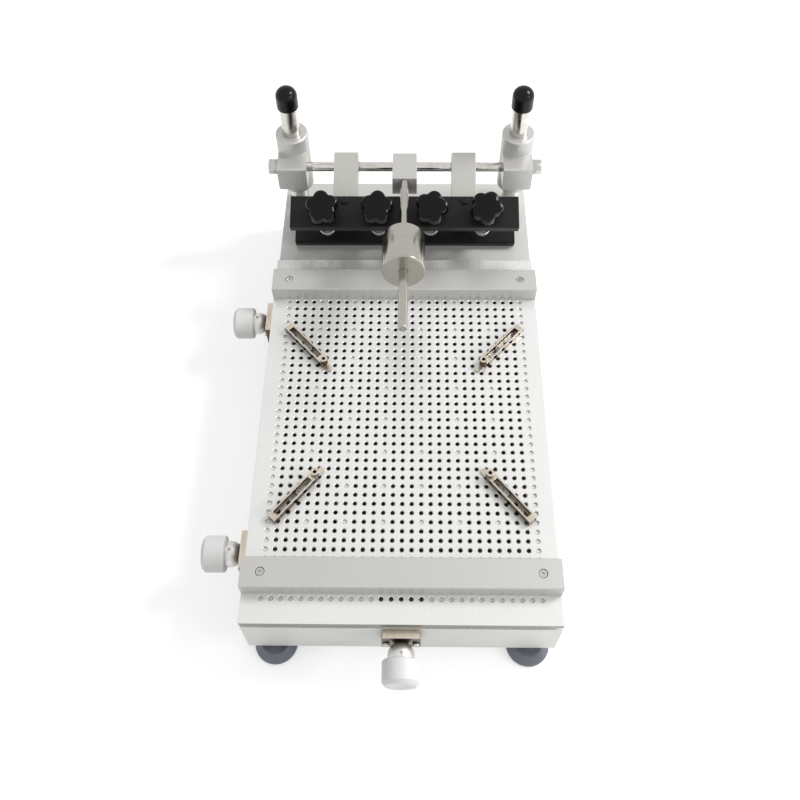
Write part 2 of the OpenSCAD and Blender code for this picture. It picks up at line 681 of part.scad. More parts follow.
module rest_bars() color("gainsboro") at_origin() for (r = [front_bar_row, rear_bar_row]) difference() {
    along_x(-plate_w / 2, plate_w / 2) bevelled(
        [grid_y(r) - bar_depth / 2, plate_z1], [grid_y(r) + bar_depth / 2, plate_z1 + bar_h], bar_chamfer);
    for (c = [0, grid_cols - 1]) {
        upright([grid_x(c), grid_y(r)], plate_z1 - eps, plate_z1 + bar_h + eps, thread_d + 2 * seat_fit);
        upright([grid_x(c), grid_y(r)], plate_z1 + bar_h - bar_screw_sink, plate_z1 + bar_h + eps, bar_screw_d + 1.5);
    }
}

module rest_bar_screws() color("dimgray") at_origin() for (r = [front_bar_row, rear_bar_row], c = [0, grid_cols - 1])
    translate([grid_x(c), grid_y(r), plate_z1 + bar_h - bar_screw_sink]) {
        difference() {
            cylinder(d = bar_screw_d, h = bar_screw_h);
            translate([0, 0, bar_screw_h / 2]) cylinder(d = bar_screw_d / 2, h = bar_screw_h, $fn = 6);
        }
        translate([0, 0, bar_screw_sink - bar_h - plate_t + 1]) cylinder(d = thread_d, h = plate_t + bar_h - bar_screw_sink);
    }

// Nut on a lead screw, with the pin that drives the stage down to height pin_z
module screw_nut(i, pin_z) at_origin() difference() {
    union() {
        on_adjuster(i) translate([-nut_size / 2, -nut_size / 2, nut_inset - nut_size / 2]) cube(nut_size);
        translate([adjusters[i][0].x + (i == 0 ? 0 : nut_inset), adjusters[i][0].y + (i == 0 ? nut_inset : 0), pin_z])
            cylinder(d = drive_pin_d, h = screw_z - nut_size / 2 - pin_z + eps);
    }
    on_adjuster(i) cylinder(d = lead_d + 2 * run_fit, h = nut_inset + nut_size);
}
module y_nut() color("goldenrod") screw_nut(0, tongue_z1 - tongue_t - 1);
module x_nut() color("goldenrod") screw_nut(1, carriage_z0 - 0.6);
module theta_nut() color("goldenrod") screw_nut(2, bed_z0 + 0.5);

module adjuster_knob(i) color("whitesmoke") at_origin() on_adjuster(i) difference() {
    translate([0, 0, -knob_end]) rotate_extrude() polygon([
        [0, 0], [knob_d / 2 - knob_chamfer, 0], [knob_d / 2, knob_chamfer],
        [knob_d / 2, knob_len - 1], [knob_d / 2 - 1, knob_len], [0, knob_len]]);
    translate([0, 0, -knob_face - knob_bite]) cylinder(d = lead_d + 2 * seat_fit, h = knob_bite + eps);
}

module adjuster_hub(i) color("silver") at_origin() on_adjuster(i) translate([0, 0, -knob_face]) difference() {
    union() {
        cylinder(d = hub_d, h = hub_straight);
        intersection() {
            translate([0, 0, hub_straight]) sphere(d = hub_d);
            translate([0, 0, hub_straight]) cylinder(d = hub_d + 1, h = hub_len - hub_straight);
        }
    }
    translate([0, 0, -eps]) cylinder(d = lead_d + 2 * seat_fit, h = hub_len + 2 * eps);
    translate([-hub_d / 2 + set_screw_depth, 0, hub_straight]) rotate([0, -90, 0]) cylinder(d = set_screw_d, h = hub_d);
}

module lead_screw(i) color("darkgray") at_origin() on_adjuster(i) {
    translate([0, 0, 0.5 - knob_face - knob_bite])
        cylinder(d = lead_d, h = knob_face + knob_bite - 0.5 + nut_inset + nut_size / 2 + travel);
    translate([0, 0, wall + slide_gap]) cylinder(d = collar_d, h = collar_len);
}

// Hinge block on the right-hand post
module hinge_block() difference() {
    union() {
        translate([post_x, post_y, sleeve_z0]) rotate_extrude() polygon([
            [0, 0], [sleeve_d / 2 - sleeve_rim, 0], [sleeve_d / 2, sleeve_rim],
            [sleeve_d / 2, sleeve_len - sleeve_rim], [sleeve_d / 2 - sleeve_rim, sleeve_len], [0, sleeve_len]]);
        intersection() {
            along_x(block_inner, post_x + block_w / 2)
                bevelled([shaft_y - block_front, shaft_z - block_drop], [post_y, shaft_z + block_rise], 2);
            translate([post_x, post_y + eps, shaft_z]) rotate([90, 0, 0]) linear_extrude(shaft_ahead + block_front + 2 * eps)
                polygon([
                    [-block_w, block_rise + eps], [-block_w, block_bevel - block_drop + block_w / 2],
                    [-block_w / 2 + block_bevel, -block_drop], [block_w / 2 - block_bevel, -block_drop],
                    [block_w, block_bevel - block_drop + block_w / 2], [block_w, block_rise + eps]]);
        }
    }
    upright([post_x, post_y], sleeve_z0 - eps, sleeve_z0 + sleeve_len + eps, post_d + 2 * run_fit);
    translate([block_inner - eps, shaft_y, shaft_z]) rotate([0, 90, 0])
        cylinder(d = shaft_d + 2 * run_fit, h = shaft_bite + eps);
    translate([block_inner, shaft_y, shaft_z]) rotate([0, 90, 0])
        cylinder(d = lock_thread_d + 2 * seat_fit, h = block_w + eps);
}
module right_hinge_block() color("lightgray") at_origin() hinge_block();
module left_hinge_block() color("lightgray") at_origin() mirror([1, 0, 0]) hinge_block();

module lock_bolts() color("silver") at_origin() for (s = [0, 1]) mirror([s, 0, 0])
    translate([block_inner, shaft_y, shaft_z]) rotate([0, 90, 0]) {
        translate([0, 0, shaft_bite + slide_gap]) cylinder(d = lock_thread_d, h = block_w - shaft_bite);
        translate([0, 0, block_w]) difference() {
            cylinder(d = lock_d, h = lock_len);
            translate([0, 0, lock_len / 2]) cylinder(d = lock_d / 2, h = lock_len, $fn = 6);
        }
    }

module hinge_shaft() color("lightgray") at_origin() translate([-shaft_half, shaft_y, shaft_z])
    rotate([0, 90, 0]) cylinder(d = shaft_d, h = 2 * shaft_half);

module clamp_arms() color("gainsboro") at_origin() on_clamp() for (s = [-1, 1]) difference() {
    along_x(s * arm_x - arm_w / 2, s * arm_x + arm_w / 2) union() {
        bevelled([-arm_front, -arm_h / 2], [arm_back, arm_h / 2], 1.5);
        polygon([[-arm_front, arm_h / 4], [-arm_front, lower_top], [-leg_u, lower_top], [-leg_u, arm_h / 4]]);
    }
    translate([s * arm_x - arm_w, 0, 0]) rotate([0, 90, 0]) cylinder(d = shaft_d + 2 * seat_fit, h = 2 * arm_w);
    translate([s * arm_x, -bar_bolt_u, upper_w0 - bar_bolt_bite - 1])
        cylinder(d = bar_bolt_d + 2 * seat_fit, h = bar_bolt_bite + 2);
    translate([s * arm_x, -lower_bolt_u, lower_top - eps])
        cylinder(d = bar_bolt_d + 2 * seat_fit, h = bar_bolt_bite + 1 + eps);
}

module upper_clamp_bar() color([0.08, 0.08, 0.09]) at_origin() on_clamp() difference() {
    along_x(-upper_len / 2, upper_len / 2) bevelled([-upper_u1, upper_w0], [-upper_u0, upper_w1], 1.2);
    for (x = clamp_xs) translate([x, -clamp_u, upper_w0 - eps])
        cylinder(d = spindle_d + 2 * run_fit, h = upper_t + 2 * eps);
    for (s = [-1, 1]) translate([s * arm_x, -bar_bolt_u, upper_w0 - eps])
        cylinder(d = bar_bolt_d + 2 * seat_fit, h = upper_t + 2 * eps);
}

module lower_clamp_bar() color([0.08, 0.08, 0.09]) at_origin() on_clamp() difference() {
    along_x(-lower_len / 2, lower_len / 2) polygon([
        [-lower_u1, lower_bottom], [-lower_u0, lower_bottom], [-lower_u0, lower_top],
        [-lower_u1 + 2, lower_top], [-lower_u1, lower_top - 2]]);
    for (s = [-1, 1]) translate([s * arm_x, -lower_bolt_u, lower_bottom - eps]) {
        cylinder(d = bar_bolt_d + 2 * seat_fit, h = lower_t + 2 * eps);
        cylinder(d = bar_bolt_head_d + 1, h = lower_t / 2 + eps);
    }
}

module clamp_bar_screws() color("silver") at_origin() on_clamp() for (s = [-1, 1]) {
    translate([s * arm_x, -bar_bolt_u, upper_w1]) {
        cylinder(d = bar_bolt_head_d, h = bar_bolt_head_h);
        translate([0, 0, -upper_t - bar_bolt_bite]) cylinder(d = bar_bolt_d, h = upper_t + bar_bolt_bite + eps);
    }
    translate([s * arm_x, -lower_bolt_u, lower_bottom + lower_t / 2]) {
        translate([0, 0, -bar_bolt_head_h]) cylinder(d = bar_bolt_head_d, h = bar_bolt_head_h);
        translate([0, 0, -eps]) cylinder(d = bar_bolt_d, h = lower_t / 2 + bar_bolt_bite);
    }
}

module clamp_pad(i) color("silver") at_origin() on_clamp() translate([clamp_xs[i], -clamp_u, pad_w0]) difference() {
    rotate_extrude() polygon([
        [0, 0], [pad_d / 2, 0], [pad_d / 2, pad_t - 1], [pad_d / 2 - 1, pad_t], [0, pad_t]]);
    translate([0, 0, pad_t - pad_seat]) cylinder(d = spindle_d + 2 * run_fit, h = pad_t);
}

module star_knob(i) color([0.05, 0.05, 0.05]) at_origin() on_clamp() translate([clamp_xs[i], -clamp_u, 0]) {
    translate([0, 0, pad_w1 - pad_seat + slide_gap])
        cylinder(d = spindle_d, h = star_w0 + star_hub_h - pad_w1 + pad_seat - slide_gap);
    translate([0, 0, star_w0]) cylinder(d = star_hub_d, h = star_hub_h + 1);
    translate([0, 0, star_w0 + star_hub_h]) difference() {
        head_h = star_h - star_hub_h;
        rotate_extrude() polygon([
            [0, 0], [star_d / 2 - 2, 0], [star_d / 2, 2], [star_d / 2, head_h * star_core],
            [star_d / 2 - 3, head_h - 1], [star_d / 4, head_h], [0, head_h]]);
        for (k = [0:star_lobes - 1]) rotate([0, 0, (k + 0.5) * 360 / star_lobes])
            translate([star_d * star_core, 0, -eps]) cylinder(d = star_d / 2.2, h = star_h);
    }
}

module counterweight_block() color("lightgray") at_origin() on_rod() difference() {
    along_x(-weight_block_w / 2, weight_block_w / 2)
        bevelled([-weight_block_h / 2, -weight_block_back], [weight_block_h / 2, weight_block_len], 1.5);
    translate([-weight_block_w, 0, 0]) rotate([0, 90, 0]) cylinder(d = shaft_d + 2 * run_fit, h = 2 * weight_block_w);
    translate([0, rod_raise, weight_block_len - rod_seat]) cylinder(d = rod_d + 2 * seat_fit, h = rod_seat + eps);
}

module counterweight_rod() color("lightgray") at_origin() on_rod() translate([0, rod_raise, weight_block_len - rod_seat])
    rotate_extrude() polygon([
        [0, 0], [rod_d / 2, 0], [rod_d / 2, rod_reach - weight_block_len + rod_seat - 1],
        [rod_d / 2 - 1, rod_reach - weight_block_len + rod_seat], [0, rod_reach - weight_block_len + rod_seat]]);

module counterweight() color("silver") at_origin() on_rod() translate([0, rod_raise, weight_at - weight_len / 2])
    rotate_extrude() polygon([
        [rod_d / 2 + run_fit, 0], [weight_d / 2 - weight_chamfer, 0], [weight_d / 2, weight_chamfer],
        [weight_d / 2, weight_len - weight_chamfer], [weight_d / 2 - weight_chamfer, weight_len],
        [rod_d / 2 + run_fit, weight_len]]);

module fixture(i) color("silver") at_origin() on_fixture(i) difference() {
    peg_s = rail_len - rail_tail;
    union() {
        box([-rail_tail, -rail_w / 2, rail_z0], [peg_s, rail_w / 2, rail_z0 + rail_h]);
        translate([peg_s, 0, rail_z0]) cylinder(d = peg_d, h = peg_h);
        box([peg_s, -toe_w / 2, rail_z0], [peg_s + peg_d / 2 + toe_len - toe_w / 2, toe_w / 2, rail_z0 + toe_t]);
        translate([peg_s + peg_d / 2 + toe_len - toe_w / 2, 0, rail_z0]) cylinder(d = toe_w, h = toe_t);
    }
    box([-channel_back, -rail_w / 2 + rail_wall, rail_z0 + rail_floor],
        [channel_front, rail_w / 2 - rail_wall, rail_z0 + rail_h + eps]);
    translate([(channel_front - channel_back) / 2, 0, rail_z0 - eps])
        slot(channel_front + channel_back - 2, thread_d + 2 * pin_play, rail_floor + 2 * eps);
    translate([peg_s, 0, rail_z0 + rail_floor]) cylinder(d = peg_d / 2.2, h = peg_h);
}

module fixture_screw(i) color("dimgray") at_origin() on_fixture(i) {
    translate([0, 0, rail_z0 + rail_floor + slide_gap]) difference() {
        cylinder(d = rail_head_d, h = rail_head_h);
        translate([0, 0, rail_head_h / 2]) cylinder(d = rail_head_d / 2, h = rail_head_h, $fn = 6);
    }
    translate([0, 0, 1 - plate_t]) cylinder(d = thread_d, h = plate_t - 1 + rail_z0 + rail_floor + slide_gap + eps);
}

base_casing();
base_floor();
floor_screws();
foot_pads();
foot_studs();
adjuster_brackets();
bracket_screws();
posts();
post_nuts();
post_caps();
pivot_pin();
glide_pads();
swing_bed();
x_guide_rods();
x_carriage();
y_guide_rods();
platform_carrier();
carrier_screws();
hole_plate();
rest_bars();
rest_bar_screws();
y_nut();
x_nut();
theta_nut();
adjuster_knob(0);  // front_knob
adjuster_hub(0);  // front_hub
lead_screw(0);  // front_lead_screw
adjuster_knob(1);  // side_knob
adjuster_hub(1);  // side_hub
lead_screw(1);  // side_lead_screw
adjuster_knob(2);  // angle_knob
adjuster_hub(2);  // angle_hub
lead_screw(2);  // angle_lead_screw
left_hinge_block();
right_hinge_block();
lock_bolts();
hinge_shaft();
clamp_arms();
upper_clamp_bar();
lower_clamp_bar();
clamp_bar_screws();
counterweight_block();
counterweight_rod();
counterweight();
clamp_pad(0);  // clamp_pad_1
clamp_pad(1);  // clamp_pad_2
clamp_pad(2);  // clamp_pad_3
clamp_pad(3);  // clamp_pad_4
star_knob(0);  // star_knob_1
star_knob(1);  // star_knob_2
star_knob(2);  // star_knob_3
star_knob(3);  // star_knob_4
fixture(0);  // front_left_fixture
fixture(1);  // front_right_fixture
fixture(2);  // rear_left_fixture
fixture(3);  // rear_right_fixture
fixture_screw(0);  // front_left_fixture_screw
fixture_screw(1);  // front_right_fixture_screw
fixture_screw(2);  // rear_left_fixture_screw
fixture_screw(3);  // rear_right_fixture_screw
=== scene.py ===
"""Looks of a bench stencil printer: finishes, detailed pieces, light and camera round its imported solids."""
from __future__ import annotations

import json
import logging
import math
from dataclasses import dataclass
from enum import Enum
from typing import Any, Iterable

import bmesh
import bpy
from mathutils import Matrix, Vector

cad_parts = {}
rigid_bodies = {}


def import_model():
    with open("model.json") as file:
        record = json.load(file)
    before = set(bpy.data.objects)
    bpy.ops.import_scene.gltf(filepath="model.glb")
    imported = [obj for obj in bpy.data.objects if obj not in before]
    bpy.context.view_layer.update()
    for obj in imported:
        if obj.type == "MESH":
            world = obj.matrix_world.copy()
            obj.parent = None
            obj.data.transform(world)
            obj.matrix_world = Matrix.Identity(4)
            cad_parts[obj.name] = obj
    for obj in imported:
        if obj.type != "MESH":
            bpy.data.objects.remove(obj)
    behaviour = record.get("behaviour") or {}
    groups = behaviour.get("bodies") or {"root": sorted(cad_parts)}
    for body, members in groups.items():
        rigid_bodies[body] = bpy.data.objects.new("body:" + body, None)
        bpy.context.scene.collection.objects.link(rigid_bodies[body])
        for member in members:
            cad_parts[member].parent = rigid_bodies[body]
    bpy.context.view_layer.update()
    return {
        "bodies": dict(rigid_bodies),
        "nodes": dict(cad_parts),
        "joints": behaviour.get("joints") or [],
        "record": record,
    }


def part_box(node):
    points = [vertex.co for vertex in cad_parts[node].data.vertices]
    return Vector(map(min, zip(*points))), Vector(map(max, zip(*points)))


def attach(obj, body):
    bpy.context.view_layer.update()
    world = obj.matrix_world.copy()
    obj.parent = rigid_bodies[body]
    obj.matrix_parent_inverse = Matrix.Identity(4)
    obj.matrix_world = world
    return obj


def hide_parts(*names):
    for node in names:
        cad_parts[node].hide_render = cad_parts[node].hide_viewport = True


LOG = logging.getLogger("stencil_printer")
MM = 0.001
# An edge that turns by more than SHARP is a sharp one. Faces that turn by less than FLAT are one flat face.
SHARP = math.radians(28)
FLAT = math.radians(0.3)
# Corners nearer than this are one, metres: in a shape drawn here, and in a packed or joined mesh.
SAME = 1e-7
WELD = 1e-6
# Directions of marks and knobs. The counterweight's rod points to the front and rises a little.
ACROSS = (1.0, 0.0, 0.0)
ALONG = (0.0, 1.0, 0.0)
UPRIGHT = (0.0, 0.0, 1.0)
ROD_RISE = math.radians(9)
ALONG_ROD = (0.0, -math.cos(ROD_RISE), math.sin(ROD_RISE))
# Numbers of the clamp screws.
CLAMPS = range(1, 5)

# What all finishes share: size of the slow clouds in a colour, mm, their share beside the fine marks, the
# stretch of the noise that is used, and how far the roughness swings about its middle value.
CLOUD = 45.0
CLOUD_SHARE = 0.35
NOISE = (0.3, 0.7)
SWING = 0.2
# An upright face gets the painted shade where its normal rises by less than the first value, and no longer at
# the second one.
UPRIGHT_SHADE_RISE = (0.1, 0.3)
# Width of an edge's wear and painted highlight, mm, and how well its rounded normal matches the flat one,
# from plain to fully brightened.
EDGE_WEAR_AND_HIGHLIGHT_WIDTH = 0.9
EDGE_WEAR_AND_HIGHLIGHT_MATCH = (0.99, 0.8)
# Sockets of a mix node that take and give colours.
FIRST_COLOUR = 6
SECOND_COLOUR = 7
MIXED_COLOUR = 2


def linear(code: str) -> tuple[float, float, float, float]:
    """Turns an sRGB hex colour into linear light.

    Args:
        code: Six hex digits.

    Returns:
        Red, green, blue and an alpha of one.
    """
    parts = [int(code[i:i + 2], 16) / 255 for i in (0, 2, 4)]
    light = [c / 12.92 if c <= 0.04045 else ((c + 0.055) / 1.055) ** 2.4 for c in parts]
    return light[0], light[1], light[2], 1.0


def add(tree: bpy.types.NodeTree, kind: str, settings: dict[str, Any] | None = None,
        inputs: dict[Any, Any] | None = None) -> bpy.types.Node:
    """Adds a shader node with its settings and links.

    Args:
        tree: Node tree that gets the node.
        kind: Type name of the node.
        settings: Attributes of the node itself.
        inputs: Socket name or number, with a value or the output that feeds it.

    Returns:
        The new node.
    """
    node = tree.nodes.new(kind)
    for name, value in (settings or {}).items():
        setattr(node, name, value)
    for key, value in (inputs or {}).items():
        if isinstance(value, bpy.types.NodeSocket):
            tree.links.new(value, node.inputs[key])
        else:
            node.inputs[key].default_value = value
    return node


def remap(tree: bpy.types.NodeTree, value: bpy.types.NodeSocket, given: tuple[float, float],
          wanted: tuple[float, float]) -> bpy.types.NodeSocket:
    """Maps a value from one range to another.

    Args:
        tree: Node tree that gets the node.
        value: Output that holds the value.
        given: Start and end of its range.
        wanted: What these two become.

    Returns:
        The mapped value.
    """
    low, high = given
    inputs = {"Value": value, "From Min": low, "From Max": high, "To Min": wanted[0], "To Max": wanted[1]}
    return add(tree, "ShaderNodeMapRange", None, inputs).outputs[0]


def blend(tree: bpy.types.NodeTree, share: bpy.types.NodeSocket, first: Any,
          second: Any) -> bpy.types.NodeSocket:
    """Mixes two colours.

    Args:
        tree: Node tree that gets the node.
        share: Share of the second colour.
        first: A colour, or the output that gives it.
        second: The other one.

    Returns:
        The mixed colour.
    """
    inputs = {"Factor": share, FIRST_COLOUR: first, SECOND_COLOUR: second}
    return add(tree, "ShaderNodeMix", {"data_type": "RGBA"}, inputs).outputs[MIXED_COLOUR]


class Marks(Enum):
    """Ways in which a surface was made, which set how its marks run."""

    BRUSHED = "fine lines along one direction"
    BLASTED = "even grit in all directions"
    TURNED = "rings about an axis"
    MOULDED = "soft ripple of a mould"
    POLISHED = "faint smears on a mirror"


@dataclass(frozen=True)
class Finish:
    """One material, named for what it is and how its surface was made.

    Attributes:
        name: Common name of the material and its surface.
        colour: Main colour, sRGB hex.
        other: Colour that the main one drifts towards, sRGB hex.
        roughness: Middle value of the roughness.
        metallic: One for a bare metal, zero for plastic and rubber, less than one where a layer covers it.
        marks: How the marks of the surface run.
        line: Width of one mark, mm.
        length: Length of one mark, mm.
        depth: Depth of the marks, mm.
        axis: Direction of the marks, or the axis of the rings.
        drift: How much of the other colour shows.
        edge_wear_and_highlight: How much brighter the edges are, partly wear and partly a painted highlight.
        gloss: Strength of the mirror reflection of a plastic, half for a common one.
        upright_shade: Colour painted on the upright faces as their shade and reflection, or nothing.
    """

    name: str
    colour: str
    other: str
    roughness: float
    metallic: float
    marks: Marks
    line: float = 1.0
    length: float = 1.0
    depth: float = 0.02
    axis: tuple[float, float, float] = ACROSS
    drift: float = 0.5
    edge_wear_and_highlight: float = 0.0
    gloss: float = 0.5
    upright_shade: str = ""

    def scale(self) -> tuple[float, float, float]:
        """Works out how often the pattern repeats.

        Returns:
            Repeats per metre along two directions beside the axis and along the axis.
        """
        across = 1 / (self.line * MM)
        along = 1 / (self.length * MM)
        if self.marks is Marks.TURNED:
            return along, along, across
        if self.marks is Marks.BRUSHED:
            return across, across, along
        return across, across, across

    def turn(self) -> tuple[float, ...]:
        """Gives the Euler angles that bring the marks' axis to the pattern's third axis."""
        turned = Vector(self.axis).rotation_difference(Vector(UPRIGHT))
        return tuple(turned.to_euler())

    def material(self) -> bpy.types.Material:
        """Builds the node material.

        Returns:
            A material that reads Object coordinates in metres.
        """
        made = bpy.data.materials.new(self.name)
        made.use_nodes = True
        tree = made.node_tree
        tree.nodes.clear()
        place = add(tree, "ShaderNodeTexCoord").outputs["Object"]
        turned = add(tree, "ShaderNodeMapping", {"vector_type": "POINT"},
                     {"Vector": place, "Rotation": self.turn()}).outputs[0]
        run = add(tree, "ShaderNodeMapping", {"vector_type": "POINT"},
                  {"Vector": turned, "Scale": self.scale()}).outputs[0]
        fine = add(tree, "ShaderNodeTexNoise", None,
                   {"Vector": run, "Scale": 1.0, "Detail": 3.0, "Roughness": 0.6}).outputs[0]
        cloud = add(tree, "ShaderNodeTexNoise", None,
                    {"Vector": place, "Scale": 1 / (CLOUD * MM), "Detail": 2.0}).outputs[0]
        both = add(tree, "ShaderNodeMix", {"data_type": "FLOAT"},
                   {"Factor": CLOUD_SHARE, "A": fine, "B": cloud}).outputs["Result"]
        share = remap(tree, both, NOISE, (0.0, self.drift))
        tone = blend(tree, share, linear(self.colour), linear(self.other))
        rough = remap(tree, both, NOISE, (self.roughness * (1 - SWING), self.roughness * (1 + SWING)))
        relief = add(tree, "ShaderNodeBump", None,
                     {"Height": fine, "Strength": 1.0, "Distance": self.depth * MM}).outputs[0]
        # Upright faces get a painted shade and reflection; edges get wear and a painted highlight.
        if self.upright_shade:
            tone = self.shade_uprights(tree, tone)
        if self.edge_wear_and_highlight > 0:
            tone = self.wear_and_highlight_edges(tree, tone)
        surface = add(tree, "ShaderNodeBsdfPrincipled", None,
                      {"Base Color": tone, "Roughness": rough, "Metallic": self.metallic,
                       "Specular IOR Level": self.gloss, "Normal": relief})
        add(tree, "ShaderNodeOutputMaterial", None, {"Surface": surface.outputs[0]})
        return made

    def shade_uprights(self, tree: bpy.types.NodeTree, tone: bpy.types.NodeSocket) -> bpy.types.NodeSocket:
        """Paints shade and reflection on the upright faces as a darker colour.

        Args:
            tree: Node tree of the material.
            tone: Colour of the finished faces.

        Returns:
            Colour with painted shade on the upright faces.
        """
        normal = add(tree, "ShaderNodeNewGeometry").outputs["True Normal"]
        up = add(tree, "ShaderNodeSeparateXYZ", None, {0: normal}).outputs[2]
        level = add(tree, "ShaderNodeMath", {"operation": "ABSOLUTE"}, {0: up}).outputs[0]
        return blend(tree, remap(tree, level, UPRIGHT_SHADE_RISE, (1.0, 0.0)), tone, linear(self.upright_shade))

    def wear_and_highlight_edges(self, tree: bpy.types.NodeTree, tone: bpy.types.NodeSocket) -> bpy.types.NodeSocket:
        """Brightens the edges: wear where handling rubs the surface, and a painted highlight.

        Args:
            tree: Node tree of the material.
            tone: Colour before the edge wear and painted highlight.

        Returns:
            Colour with brighter edges.
        """
        rounded = add(tree, "ShaderNodeBevel", {"samples": 4}, {"Radius": EDGE_WEAR_AND_HIGHLIGHT_WIDTH * MM}).outputs[0]
        flat = add(tree, "ShaderNodeNewGeometry").outputs["Normal"]
        match = add(tree, "ShaderNodeVectorMath", {"operation": "DOT_PRODUCT"},
                    {0: rounded, 1: flat}).outputs[1]
        return blend(tree, remap(tree, match, EDGE_WEAR_AND_HIGHLIGHT_MATCH, (0.0, self.edge_wear_and_highlight)), tone, linear("ffffff"))


